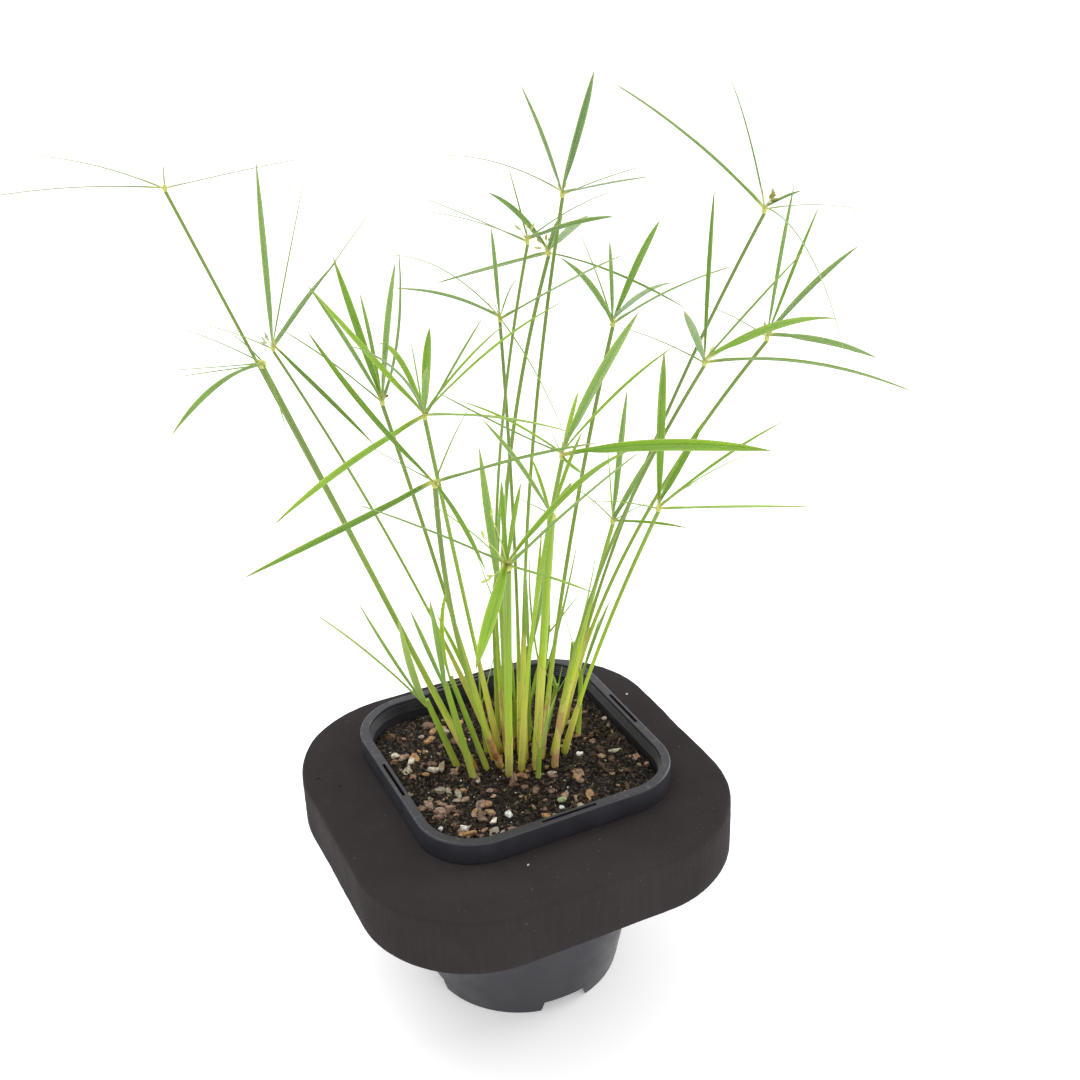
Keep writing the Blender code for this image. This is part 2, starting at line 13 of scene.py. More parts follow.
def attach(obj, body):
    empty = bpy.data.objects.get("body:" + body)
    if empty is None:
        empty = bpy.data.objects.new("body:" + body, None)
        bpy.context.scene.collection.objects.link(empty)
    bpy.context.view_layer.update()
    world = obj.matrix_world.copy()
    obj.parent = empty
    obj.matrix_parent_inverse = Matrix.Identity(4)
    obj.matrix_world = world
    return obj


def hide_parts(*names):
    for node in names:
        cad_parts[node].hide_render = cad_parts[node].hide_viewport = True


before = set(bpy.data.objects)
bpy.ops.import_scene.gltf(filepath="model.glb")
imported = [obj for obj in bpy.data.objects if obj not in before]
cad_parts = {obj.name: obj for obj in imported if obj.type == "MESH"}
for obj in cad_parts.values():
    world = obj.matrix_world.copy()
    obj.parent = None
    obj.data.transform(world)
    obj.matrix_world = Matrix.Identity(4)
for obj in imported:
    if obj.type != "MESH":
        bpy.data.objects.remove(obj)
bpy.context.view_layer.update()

MM = 0.001

# Camera, solved from the pot's rim, the collar and the foot
CAMERA_AZIMUTH = -25.0
CAMERA_ELEVATION = 27.5
CAMERA_ROLL = -2.2
CAMERA_DISTANCE = 694.0
CAMERA_REACH = 100.0
CAMERA_TARGET = (31.0, 24.5, 225.0)
FOCAL_SHARE = 1.3194
SENSOR = 36.0

# Light: an even sky, a floor that stays white, and lamps given as name, place, size and power
SKY_STRENGTH = 1.1
FLOOR_SIZE = 60.0
FLOOR_COLOUR = (0.9, 0.9, 0.9)
FLOOR_GLOW = 0.22
LAMPS = (
    ("key", (-0.7, 0.7, 1.9), 1.2, 14.0),
    ("side", (1.7, 0.1, 0.8), 0.9, 13.0),
    ("front", (0.6, -1.9, 1.0), 1.2, 5.5),
)

# Pot and collar, as in the solids
POT_HEIGHT = 131.0
RIM_HALF = 65.0
RIM_RADIUS = 29.0
FLANGE_WIDTH = 4.8
FLANGE_THICKNESS = 1.8
SKIRT_DEPTH = 11.3
SKIRT_THICKNESS = 1.3
WALL = 1.3
FOOT_RADIUS = 50.5
FOOT_WALL = 2.2
FLOOR_UNDERSIDE = 6.5
FLOOR_TOP = 8.0
SLOT_LENGTH = 28.0
SLOT_WIDTH = 1.5
NOTCH_WIDTH = 26.0
NOTCH_NARROWING = 4.0
COLLAR_HALF = 93.7
COLLAR_RADIUS = 58.0
COLLAR_THICKNESS = 30.0
COLLAR_CENTRE = (-4.7, -8.4)
COLLAR_EDGE = 2.2
GAP = 0.3
SOIL_TOP = 119.6
COLLAR_TOP = POT_HEIGHT - SKIRT_DEPTH - GAP
RING_CORNER_STEPS = 20
RING_SIDE_STEPS = 24

# The pot's rounded edges
FOOT_EDGE = 0.75
FOOT_LIP = 0.4
FOOT_TREAD = 0.9
RIM_EDGE = 1.0
SKIRT_EDGE = 0.5
SKIRT_MIDDLE = 6.0
SKIRT_BULGE = 0.1
FLANGE_EDGE = 0.6
SHARP_POT_EDGE = 32

# Heights on the wall's outside and inside
OUTER_LEVELS = (4.0, 14.0, 30.0, 50.0, 70.0, 88.0, 100.0, 112.0, 120.0, 128.6)
INNER_LEVELS = (118.0, 100.0, 60.0, FLOOR_TOP)

# Skirt and flange: how far in from the rim, and how far below its top
SKIRT_LEVELS = (
    (SKIRT_THICKNESS, FLANGE_THICKNESS),
    (SKIRT_THICKNESS, FLANGE_THICKNESS + 0.8),
    (SKIRT_THICKNESS - 0.2, SKIRT_DEPTH - 0.3),
    (SKIRT_THICKNESS - 0.5, SKIRT_DEPTH),
)
FLANGE_LEVELS = ((FLANGE_WIDTH - 2.4, 0.12), (FLANGE_WIDTH - 1.0, 0.02))

# Cutters of the slots and notches
SLOT_OFFSET = 0.4
SLOT_DEPTH = 4.0
NOTCH_REACH_IN = 10.0
NOTCH_REACH_OUT = 4.0
NOTCH_ROOF = FLOOR_UNDERSIDE - 0.2
CUT_MARGIN = 1.0

# The collar's uneven cut: it starts this far out, and swells by slow and quick waves
COLLAR_STEPS = 9
COLLAR_UNEVEN_FROM = (62.0, 72.0)
COLLAR_SLOW_WAVE = 0.5
COLLAR_QUICK_WAVE = 0.16
COLLAR_RISE = 0.4

# Fine ribs inside the rim
RIB_DROP = 2.2
RIB_COUNT = 5
RIB_PITCH = 1.15
RIB_DEPTH = 0.32
RIB_FOOT = 0.36
RIB_CREST = 0.18

# Stems, as in the solids. The tube is a little thinner than its solid.
STEM_START = SOIL_TOP + GAP
STEM_FOOT_RADIUS = 1.7
SHEATH_SHARE = 0.35
SKIN_SHARE = 0.96
STEM_STEPS = 48
COLOUR_REACH = 200.0
ACROSS = (0.906, -0.423)
SKEW = Vector((0.31, 0.95, 0.0))

# Leaf widths
BROAD, WIDE, MEDIUM, NARROW, THIN = 5.2, 3.9, 2.9, 2.0, 1.2

# Each stem: foot (x, y), hub (x, y, z), sideways bow along ACROSS, radius below the hub
STEMS = {
    "a": ((-17, 13), (-103, 125, 393), 0, 0.78),
    "b": ((-18, 4), (-99, 2, 347), 0, 1.25),
    "c": ((-2, 18), (-77, 69, 329), 11, 0.7),
    "d": ((-7, 5.5), (-41, 30, 309), 3, 0.95),
    "e": ((-6, -1), (-59, -77, 317), -12, 1.1),
    "f": ((-2, 10), (-40, -20, 320), -1, 0.95),
    "g": ((0.5, -8.5), (0, -66, 311), -7, 1.0),
    "h": ((-6, -8), (-42, -102, 289), 0, 1.8),
    "i": ((7, -10.5), (8, -37, 269), 0, 1.9),
    "j": ((5.5, 3), (24, 44, 332), 4, 0.85),
    "k": ((19, -5), (49, -17, 248), -2, 1.0),
    "l": ((26, -4), (30, -91, 291), -6, 0.9),
    "m": ((12.5, -5.5), (76, 31, 324), -7, 1.0),
    "n": ((4, 9.5), (65, 75, 349), -25, 1.0),
    "o": ((-0.5, 3.5), (20, 2, 379), -20, 0.72),
    "p": ((5, -3.5), (45, 18, 392), -13, 0.85),
    "q": ((29, 8.5), (113, -36, 387), -20, 0.8),
    "r": ((34, 14), (142, 0, 314), -31, 0.95),
    "s": ((16, -14), (64, -69, 339), -26, 0.8),
}

# Each umbrella's leaves: heading, rise at the hub, length, width, how far the rise falls by the tip
UMBRELLAS = {
    "a": ((300, 15, 90, THIN, 2), (75, 35, 16, THIN, 20), (190, 14, 114, THIN, 20),
          (135, 20, 76, THIN, 20)),
    "b": ((210, 15, 54, THIN, 0), (235, 18, 92, WIDE, 25), (185, 5, 36, THIN, 0),
          (160, 35, 34, THIN, 10), (110, 30, 22, THIN, 20), (262, 2, 60, THIN, 20)),
    "c": ((260, 65, 103, MEDIUM, 0), (56, 43, 95, THIN, 8), (280, 39, 93, WIDE, 3),
          (33, 30, 92, THIN, 0), (150, 30, 40, THIN, 20), (290, -24, 74, MEDIUM, 0)),
    "d": ((228, 54, 95, MEDIUM, 7), (88, 44, 76, WIDE, 0), (262, 60, 96, MEDIUM, 8),
          (75, 18, 90, NARROW, 5), (178, 50, 60, NARROW, 10), (308, 64, 73, WIDE, -28)),
    "e": ((106, 21, 90, MEDIUM, -14), (209, 0, 97, BROAD, -5), (170, 38, 37, THIN, 0),
          (45, 34, 41, THIN, 19), (290, 28, 91, WIDE, 5), (266, -3, 56, NARROW, 17)),
    "f": ((213, 0, 96, BROAD, 8), (104, 23, 91, WIDE, -4), (190, 76, 51, MEDIUM, 50),
          (90, 50, 61, MEDIUM, 70), (145, 85, 34, NARROW, 0), (62, 45, 44, WIDE, 19),
          (255, 63, 38, MEDIUM, 22), (42, 15, 88, NARROW, 17), (305, 57, 57, NARROW, 0),
          (20, 28, 90, NARROW, 21), (286, 18, 92, MEDIUM, 11)),
    "g": ((273, 56, 95, BROAD, 7), (304, 21, 92, BROAD, 16), (28, 21, 89, NARROW, 17),
          (49, 35, 35, NARROW, 20), (209, 33, 93, NARROW, -4), (255, 9, 36, NARROW, -8),
          (130, 30, 48, NARROW, 20)),
    "h": ((30, 23, 103, WIDE, 34), (290, 48, 93, WIDE, 5), (208, 39, 92, WIDE, 4),
          (235, -5, 59, BROAD, 9), (280, 13, 56, NARROW, 0), (68, 37, 44, NARROW, 29),
          (52, 50, 36, NARROW, 27), (130, 45, 40, THIN, 25)),
    "i": ((221, 53, 94, MEDIUM, 9), (135, 28, 20, THIN, 14), (44, 36, 52, NARROW, 23),
          (278, 55, 28, MEDIUM, 5), (85, 50, 30, NARROW, 14)),
    "j": ((215, 32, 91, WIDE, 14), (104, 28, 97, THIN, 43), (242, 66, 64, NARROW, 19),
          (286, 32, 92, WIDE, 4), (47, 38, 35, THIN, 40), (262, -4, 96, THIN, 26)),
    "k": ((250, 60, 97, MEDIUM, 0), (273, 55, 66, BROAD, 0),
          (66, 40, 51, THIN, 26), (295, 15, 41, MEDIUM, 7), (347, 28, 21, THIN, 10),
          (110, 34, 39, THIN, 34)),
    "l": ((58, 34, 92, WIDE, 21), (41, 13, 60, WIDE, 0), (22, 9, 89, NARROW, 7),
          (5, 28, 51, THIN, 28), (305, 48, 32, THIN, 25), (277, 23, 92, MEDIUM, 2),
          (172, 26, 34, THIN, 20)),
    "m": ((204, 61, 57, BROAD, 26), (44, 26, 91, WIDE, 17), (241, 65, 60, NARROW, 17),
          (73, 25, 91, THIN, 22), (17, 30, 42, BROAD, 33), (280, 36, 92, WIDE, 12)),
    "n": ((99, 40, 56, WIDE, 36), (212, 7, 93, BROAD, 0), (285, 4, 93, NARROW, 18),
          (19, 29, 31, BROAD, 14), (262, 51, 33, WIDE, 9)),
    "o": ((273, 22, 75, BROAD, 5), (219, 26, 92, THIN, 2), (76, 38, 43, THIN, 13),
          (160, 30, 45, THIN, 20), (10, 25, 50, THIN, 20)),
    "p": ((233, 42, 93, NARROW, 5), (52, 25, 91, WIDE, 2), (258, 60, 44, THIN, 16),
          (295, 17, 47, WIDE, 3), (350, 18, 38, THIN, 9), (102, 13, 92, THIN, 23)),
    "q": ((183, 46, 93, WIDE, 13), (67, 36, 92, THIN, 21), (18, -4, 89, THIN, 18),
          (330, 28, 16, MEDIUM, 6), (255, 9, 113, THIN, 60)),
    "r": ((247, 64, 92, NARROW, 0), (39, 27, 92, NARROW, -3), (266, 45, 93, BROAD, 7),
          (4, -13, 76, BROAD, 15), (290, 12, 50, MEDIUM, 17), (130, 30, 45, THIN, 20)),
    "s": ((57, 43, 95, NARROW, 19), (215, 59, 37, WIDE, 12), (18, 10, 92, BROAD, 26),
          (293, 20, 94, WIDE, 28), (268, 44, 93, NARROW, 2), (140, 30, 45, THIN, 20)),
}

# Young shoots: foot (x, y), fork (x, y, z), radius at the foot, leaves
SHOOTS = {
    "left": ((-25, 10), (-38, 13, 157), 1.8,
             ((195, 58, 92, WIDE, 8), (215, 57, 94, MEDIUM, -9), (240, 45, 97, WIDE, -25),
              (91, 35, 22, THIN, 20))),
    "front_left": ((-22, -3), (-34, -4, 175), 1.9,
                   ((245, 57, 95, MEDIUM, 0), (210, 67, 58, WIDE, -5), (140, 84, 47, MEDIUM, 0))),
    "twisted": ((-13, 0), (-28, 4, 172), 1.6,
                ((120, 72, 56, MEDIUM, -40), (239, 61, 29, THIN, 0))),
    "upright": ((-2.5, -3), (-1, 2, 211), 1.6,
                ((238, 71, 100, WIDE, 0), (330, 82, 66, MEDIUM, -8))),
    "behind": ((12, 2), (20, 4, 160), 1.4,
               ((282, 66, 94, NARROW, -10), (119, 76, 68, NARROW, -20))),
    "right": ((38, 3), (43, 7, 152), 1.5,
              ((284, 70, 59, MEDIUM, 5), (30, 58, 34, THIN, 7), (140, 80, 45, THIN, 5))),
    "short_front": ((5, -18), (6, -20, 134), 1.4,
                    ((300, 78, 40, MEDIUM, 5), (30, 72, 32, THIN, 0), (180, 80, 22, THIN, 0))),
    "short_back": ((-8, 13), (-9, 16, 145), 1.4,
                   ((130, 72, 55, MEDIUM, 10), (20, 68, 40, THIN, 5), (250, 76, 48, THIN, 0))),
    "centre": ((13.5, 10.5), (13.5, 5, 176), 1.5,
               ((25, 74, 66, NARROW, -8), (340, 72, 82, NARROW, -14), (288, 68, 75, MEDIUM, -18),
                (245, 74, 60, NARROW, -14))),
    "dark_blades": ((9, 18), (11, 19, 137), 1.4,
                    ((320, 80, 38, NARROW, 0), (75, 76, 34, NARROW, 0), (20, 70, 28, NARROW, 0))),
    "blade_mid": ((17, 17), (17, 15, 138), 1.5,
                  ((305, 74, 33, MEDIUM, 0), (20, 70, 25, NARROW, 0))),
    "tuft": ((24, 14), (31, 11, 145), 1.5,
             ((130, 60, 15, THIN, 0), (225, 66, 18, NARROW, 0), (310, 62, 16, NARROW, 0),
              (40, 54, 13, THIN, 0))),
    "right_dark": ((40.5, 21), (45, 19.5, 161), 1.5,
                   ((306, 72, 61, MEDIUM, -10), (359, 66, 31, NARROW, -10))),
    "pale": ((23, 21), (31, 18, 176), 1.4,
             ((335, 54, 27, NARROW, 0), (60, 72, 40, NARROW, -8))),
    "back_stub": ((3, 24), (4.5, 24, 199), 1.4,
                  ((299, 80, 66, WIDE, -6), (120, 70, 30, THIN, 0))),
}

# Soil surface: broad waves, grit and clods
SOIL_INSET = 0.5
SOIL_RINGS = 84
SOIL_LIFT = 0.4
SOIL_WAVE = 1.4
SOIL_GRIT = 0.8
CLOD_HEIGHT = 2.4
CLOD_REACH = 0.75
SOIL_CORNER_STEPS = 30
SOIL_SIDE_STEPS = 44

# Stems go this far into the soil
STEM_DEPTH = 4.0

# Sheaths
SHEATH_SIDES = 16
SHEATH_HEIGHTS = (42.0, 80.0)
DRY_SHEATH_HEIGHTS = (26.0, 52.0)
SHEATH_SLANTS = (7.0, 15.0)
SHEATH_MOUTH_STEPS = 4
SHEATH_LOW_SIDE = 0.55
SHEATH_CLOSING = 0.4
SHEATH_OFFSET = 0.26
SHEATH_THICKNESS = 0.16
SHEATH_RIM_DRYNESS = 0.8

# Hubs and spikelets
HUB_HEIGHT = 3.6
HUB_SWELL = 1.15
HUB_SINK = 0.4
HUB_SIDES = 12
HUB_LEVELS = ((0.0, 0.7), (0.15, 0.95), (0.45, 1.0), (0.7, 0.86), (0.9, 0.6))
LEAF_ROOT_REACH = 0.45
SPIKELET_LENGTHS = (2.2, 3.6)
SPIKELET_WIDTH = 1.15
SPIKELET_TOOTH = 0.22
SPIKELET_STEPS = 10
SPIKELET_SIDES = 8
RAY_STEPS = 8
RAY_RADII = (0.3, 0.14)

# Leaf greens: umbrellas in these groups are lighter or bluer than the rest
FRESH_UMBRELLAS = "fghikl"
SHADED_UMBRELLAS = "anopq"

# How dry the sheath at a stem's foot is: 0.35 straw, 0.65 pinkish, 1 brown. The rest are fresh.
DRY_SHEATHS = {"e": 0.95, "o": 0.66, "n": 0.6, "b": 0.5, "s": 0.62, "m": 0.55, "a": 0.4}

# Flower sprays at hubs: heading, rise, reach of the ray, spikelets at its end, tone
SPRAYS = {
    "c": ((155, 40, 4, 3, 0.95), (180, 70, 5, 3, 1.0)),
    "d": ((200, 60, 1.5, 2, 0.0), (20, 40, 1.5, 2, 0.05)),
    "g": ((60, 70, 9, 0, 0.7), (130, 60, 10, 0, 0.7), (345, 75, 12, 0, 0.75)),
    "h": ((165, -35, 9, 3, 0.8), (150, 60, 14, 1, 0.85), (120, 78, 20, 1, 0.8), (250, 30, 2, 2, 0.3)),
    "j": ((150, 50, 9, 0, 0.3), (110, 65, 8, 0, 0.3), (60, 75, 7, 0, 0.4), (20, 60, 6, 0, 0.3)),
    "n": ((95, 68, 6, 2, 0.5), (140, 55, 6, 2, 0.42), (40, 60, 5, 3, 0.35), (350, 62, 6, 2, 0.5),
          (170, 30, 4, 1, 0.6)),
    "o": ((70, 82, 7, 0, 0.6), (150, 60, 5, 1, 0.6), (120, 30, 4, 0, 0.6), (350, 70, 4, 1, 0.6)),
    "p": ((340, 70, 2, 1, 0.5), (150, 60, 2, 1, 0.55)),
    "q": ((340, 48, 5, 3, 0.32), (5, 55, 6, 3, 0.38), (25, 35, 6, 2, 0.34), (100, 75, 9, 0, 0.6),
          (70, 60, 8, 0, 0.6)),
    "r": ((345, 60, 4, 2, 0.4), (10, 50, 5, 3, 0.35), (80, 60, 4, 1, 0.45)),
    "s": ((340, 58, 4, 1, 0.8),),
}

# Leaves painted pale grey-green all over as a painted reflection of the sky, and how far some blades
# turn to face sideways
SKY_SHEEN_LEAVES = (("s", 1), ("m", 4), ("n", 3), ("q", 4), ("a", 0), ("a", 1), ("p", 3), ("f", 2))
TURNED_LEAVES = {("g", 1): 38.0, ("o", 0): 34.0, ("s", 2): 24.0, ("r", 3): 30.0}

# Loose pieces that lie where the picture shows them: x, y, length, width, turn, tone, and how
# green the piece is if it's green at all
LITTER = (
    (-47, 47, 6, 6, 0, 0.42), (-51, 31, 5, 4.5, 20, 0.9), (-46, 22, 9, 4, 50, 0.86),
    (-39, 10, 7, 3.5, 140, 0.84), (-49, 11, 5, 4, 30, 0.62), (-41, -5, 8, 5, 110, 0.76),
    (-32, -11, 5, 4.6, 0, 0.64), (-22, -6, 5, 3.6, 60, 0.82), (-51, -15, 8, 5, 80, 0.56),
    (-48, -22, 7, 5, 150, 0.57), (-43, -21, 7, 4.5, 20, 0.55), (-28, -25, 9, 5, 70, 0.58),
    (-27, -33, 7, 4, 120, 0.62), (-43, -42, 11, 3.5, 160, 0.7), (-35, -42, 6, 3, 10, 0.62),
    (-1, -28, 5, 4, 40, 0.5), (-20, -38, 4.6, 4.4, 0, 1.0), (-28, -39, 5, 3.5, 30, 0.92),
    (-43, -37, 5, 4.5, 0, 0.97), (-53, -34, 2.5, 2.2, 0, 0.97), (4, -46, 3.5, 3, 0, 1.0),
    (32, -11, 4, 3.6, 0, 1.0), (57, 10, 4, 3, 0, 0.9), (48, -18, 7, 2.5, 155, 0.86),
    (54, -28, 5, 3, 70, 0.6), (56, -36, 4, 3, 20, 0.62), (21, -31, 5, 3.4, 130, 0.6),
    (8, -17, 4, 2, 10, 0.85, 0.8), (-2, -9, 6, 4, 80, 0.3), (7, -41, 6, 3.5, 15, 0.85, 0.9),
    (-17, 50, 2.5, 2.3, 0, 0.5, 0.7), (-38, 22, 3.5, 2, 50, 0.48), (-91, 34, 2.4, 1.8, 0, 0.2),
    (-83, 23, 2, 1.6, 40, 0.15), (-27, -74, 1.4, 1.2, 0, 1.0), (79, 25, 1.3, 1.1, 0, 1.0),
)

# Seeded pieces of the potting mix: how many, smallest and largest length, tones
CRUMBS = (
    (620, 1.2, 3.4, (0.0, 0.30)),
    (480, 1.4, 4.0, (0.22, 0.46)),
    (250, 2.6, 8.2, (0.44, 0.80)),
    (150, 0.6, 1.6, (0.80, 1.0)),
)
LITTER_MARGIN = 3.0
FLAKE_LENGTH = 3.4
FLAKE_THICKNESS = (0.14, 0.3)
CRUMB_THICKNESS = (0.3, 0.6)
CRUMB_SIDES = 7
CRUMB_LEVELS = ((-0.45, 0.8), (0.0, 1.0), (0.42, 0.86))
CRUMB_SINK = 0.2
BARK_TONE = 0.3
FADED_BARK = 0.62
FOOT_CRUMBS = 6
FOOT_CRUMB_REACH = (1.6, 3.4)
MOSS_DOTS = 40
MOSS_TONE = 0.6

# A cut shoot in front of the clump
STUB_FOOT = (6.0, -13.0)
STUB_HEIGHT = 12.0
STUB_RADIUS = 1.25
STUB_LEAN = (0.12, -0.06, 1.0)
STUB_SHARES = (1.1, 1.05, 1.0, 1.0, 0.98, 0.96, 0.95, 0.8, 0.35)

# Young shoots: steps of the stalk, how much it narrows, and its reach into the leaves
STALK_STEPS = 16
STALK_TAPER = 0.7
STALK_REACH = 4.0

# A blade's cross-section, and how wide and thick it is along its length
SECTION = (-1.0, -0.72, -0.42, -0.15, 0.0, 0.15, 0.42, 0.72, 1.0)
BLADE_STEPS = 32
BLADE_FOOT_SHARE = 0.45
BLADE_WIDEST = 0.5
BLADE_TAPER = 2.4
BLADE_THICKNESS = 0.32
THREAD_THICKNESS = 0.26
THREAD_SHARE = 0.68
THREAD_TAPER = 0.42
THREAD_FOOT = 0.12
TIP_THINNING = 0.5
EDGE_THINNING = 0.7
KEEL_SHARE = 0.35

# How far a blade may stray sideways, wave and twist, how deeply it folds, and how dry its tip is
BLADE_SWAY = 2.5
BLADE_WAVE = 1.2
BLADE_TWIST = 22.0
BLADE_FOLDS = (0.26, 0.5)
FOOT_FOLD = 1.5
FOOT_FOLD_REACH = (0.0, 0.22)
TIP_FOLD = 0.25
TIP_FOLD_REACH = (0.85, 1.0)
DRY_TIPS = (0.0, 0.0, 0.25, 0.8)


def mix(start, end, share):
    """A value between two others."""
    return start + (end - start) * share


def smooth(value, low, high):
    """Zero below low, one above high, and an even curve between them."""
    share = min(1.0, max(0.0, (value - low) / (high - low)))
    return share * share * (3.0 - 2.0 * share)


def aim(heading, rise):
    """A unit direction from a compass heading and a rise."""
    turn = math.radians(heading)
    pitch = math.radians(rise)
    return Vector((math.cos(turn) * math.cos(pitch), math.sin(turn) * math.cos(pitch), math.sin(pitch)))


def add_to_scene(name, data):
    """A new object that holds a mesh, a lamp or a camera."""
    made = bpy.data.objects.new(name, data)
    bpy.context.scene.collection.objects.link(made)
    return made


class Shape:
    """Points, faces and per-point numbers that become one mesh.

    along and across run over a piece's surface. tone picks its shade. kind is 1 on a leaf's
    underside, on a sheath, and on green litter. dry turns a leaf's tip or a sheath brown.
    """

    def __init__(self):
        self.points = []
        self.faces = []
        self.values = {"along": [], "across": [], "tone": [], "kind": [], "dry": []}

    def point(self, place, along=0.0, across=0.0, tone=0.5, kind=0.0, dry=0.0):
        self.points.append((place[0] * MM, place[1] * MM, place[2] * MM))
        for numbers, value in zip(self.values.values(), (along, across, tone, kind, dry)):
            numbers.append(value)
        return len(self.points) - 1

    def bridge(self, lower, upper):
        count = len(lower)
        for index in range(count):
            following = (index + 1) % count
            self.faces.append((lower[index], lower[following], upper[following], upper[index]))

    def stack(self, rings):
        """Joins rings in order."""
        for lower, upper in zip(rings, rings[1:]):
            self.bridge(lower, upper)

    def cap(self, ring):
        """A flat end that closes a ring."""
        self.faces.append(tuple(reversed(ring)))

    def fan(self, ring, tip, outward=True):
        count = len(ring)
        for index in range(count):
            following = (index + 1) % count
            face = (ring[index], ring[following], tip)
            self.faces.append(face if outward else face[::-1])

    def close(self, rings, first, last):
        """Joins rings in order and closes both ends on a point."""
        self.stack(rings)
        self.fan(rings[0], first, outward=False)
        self.fan(rings[-1], last)

    def add_object(self, name, material, smooth_angle=None):
        mesh = bpy.data.meshes.new(name)
        mesh.from_pydata(self.points, [], self.faces)
        for key, numbers in self.values.items():
            attribute = mesh.attributes.new(key, "FLOAT", "POINT")
            attribute.data.foreach_set("value", numbers)
        mesh.materials.append(material)
        mesh.shade_smooth()
        if smooth_angle is not None:
            mesh.set_sharp_from_angle(angle=math.radians(smooth_angle))
        return add_to_scene(name, mesh)


def keep(piece, slot, *nodes):
    """Every piece rides on the one body and may stand for some nodes, which are hidden. The slot is not
    used.
    """
    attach(piece, "root")
    if nodes:
        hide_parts(*nodes)


class Surface:
    """A Principled material with a few short ways to add nodes."""

    def __init__(self, name, roughness, specular=0.5):
        self.material = bpy.data.materials.new(name)
        self.material.use_nodes = True
        self.tree = self.material.node_tree
        self.shader = self.tree.nodes["Principled BSDF"]
        self.shader.inputs["Roughness"].default_value = roughness
        self.shader.inputs["Specular IOR Level"].default_value = specular

    def node(self, kind, settings=None, **inputs):
        made = self.tree.nodes.new(kind)
        for key, value in (settings or {}).items():
            setattr(made, key, value)
        for key, value in inputs.items():
            self.set(made.inputs[key.replace("_", " ")], value)
        return made

    def set(self, socket, value):
        if isinstance(value, bpy.types.NodeSocket):
            self.tree.links.new(value, socket)
        else:
            socket.default_value = value

    def value(self, name):
        return self.node("ShaderNodeAttribute", {"attribute_name": name}).outputs["Fac"]

    def values(self, *names):
        return [self.value(name) for name in names]

    def place(self, scale=(1.0, 1.0, 1.0)):
        where = self.node("ShaderNodeTexCoord").outputs["Object"]
        return self.node("ShaderNodeMapping", Vector=where, Scale=scale).outputs["Vector"]

    def noise(self, scale, detail=4.0, roughness=0.55, stretch=(1.0, 1.0, 1.0)):
        made = self.node("ShaderNodeTexNoise", Vector=self.place(stretch), Scale=scale,
                         Detail=detail, Roughness=roughness)
        return made.outputs["Fac"]

    def lanes(self, *coordinates, detail=3.0):
        """Noise over a piece's own coordinates, for veins that follow it."""
        where = self.node("ShaderNodeCombineXYZ", **dict(zip("XYZ", coordinates))).outputs["Vector"]
        return self.node("ShaderNodeTexNoise", Vector=where, Scale=1.0, Detail=detail).outputs["Fac"]

    def range(self, value, low, high, new_low=0.0, new_high=1.0):
        made = self.node("ShaderNodeMapRange", Value=value)
        limits = {"From Min": low, "From Max": high, "To Min": new_low, "To Max": new_high}
        for key, number in limits.items():
            made.inputs[key].default_value = number
        return made.outputs["Result"]

    def spread(self, noise_value, low=0.0, high=1.0):
        """Noise, which mostly lies between 0.3 and 0.7, stretched from low to high."""
        return self.range(noise_value, 0.3, 0.7, low, high)

    def math(self, operation, first, second=0.0):
        made = self.node("ShaderNodeMath", {"operation": operation})
        self.set(made.inputs[0], first)
        self.set(made.inputs[1], second)
        return made.outputs["Value"]

    def times(self, first, *others):
        for other in others:
            first = self.math("MULTIPLY", first, other)
        return first

    def blend(self, share, first, second):
        made = self.node("ShaderNodeMix", {"data_type": "RGBA"})
        self.set(made.inputs["Factor"], share)
        for socket, colour in ((made.inputs[6], first), (made.inputs[7], second)):
            self.set(socket, colour if isinstance(colour, bpy.types.NodeSocket) else (*colour, 1.0))
        return made.outputs[2]

    def shade(self, colour, brightness):
        return self.node("ShaderNodeHueSaturation", Color=colour, Value=brightness).outputs["Color"]

    def ramp(self, value, stops):
        made = self.node("ShaderNodeValToRGB", Fac=value)
        ramp = made.color_ramp
        while len(ramp.elements) < len(stops):
            ramp.elements.new(0.5)
        for element, (position, colour) in zip(ramp.elements, stops):
            element.position = position
            element.color = (*colour, 1.0)
        return made.outputs["Color"]

    def facing_up(self):
        normal = self.node("ShaderNodeNewGeometry").outputs["Normal"]
        return self.node("ShaderNodeSeparateXYZ", Vector=normal).outputs["Z"]

    def colour(self, socket):
        self.set(self.shader.inputs["Base Color"], socket)

    def rough(self, socket):
        self.set(self.shader.inputs["Roughness"], socket)

    def bump(self, height, distance, strength=1.0):
        made = self.node("ShaderNodeBump", Height=height, Distance=distance, Strength=strength)
        self.set(self.shader.inputs["Normal"], made.outputs["Normal"])

    def glow(self, weight, depth):
        """Light that passes through thin green tissue."""
        self.shader.inputs["Subsurface Weight"].default_value = weight
        self.shader.inputs["Subsurface Radius"].default_value = (0.6, 1.0, 0.15)
        self.shader.inputs["Subsurface Scale"].default_value = depth


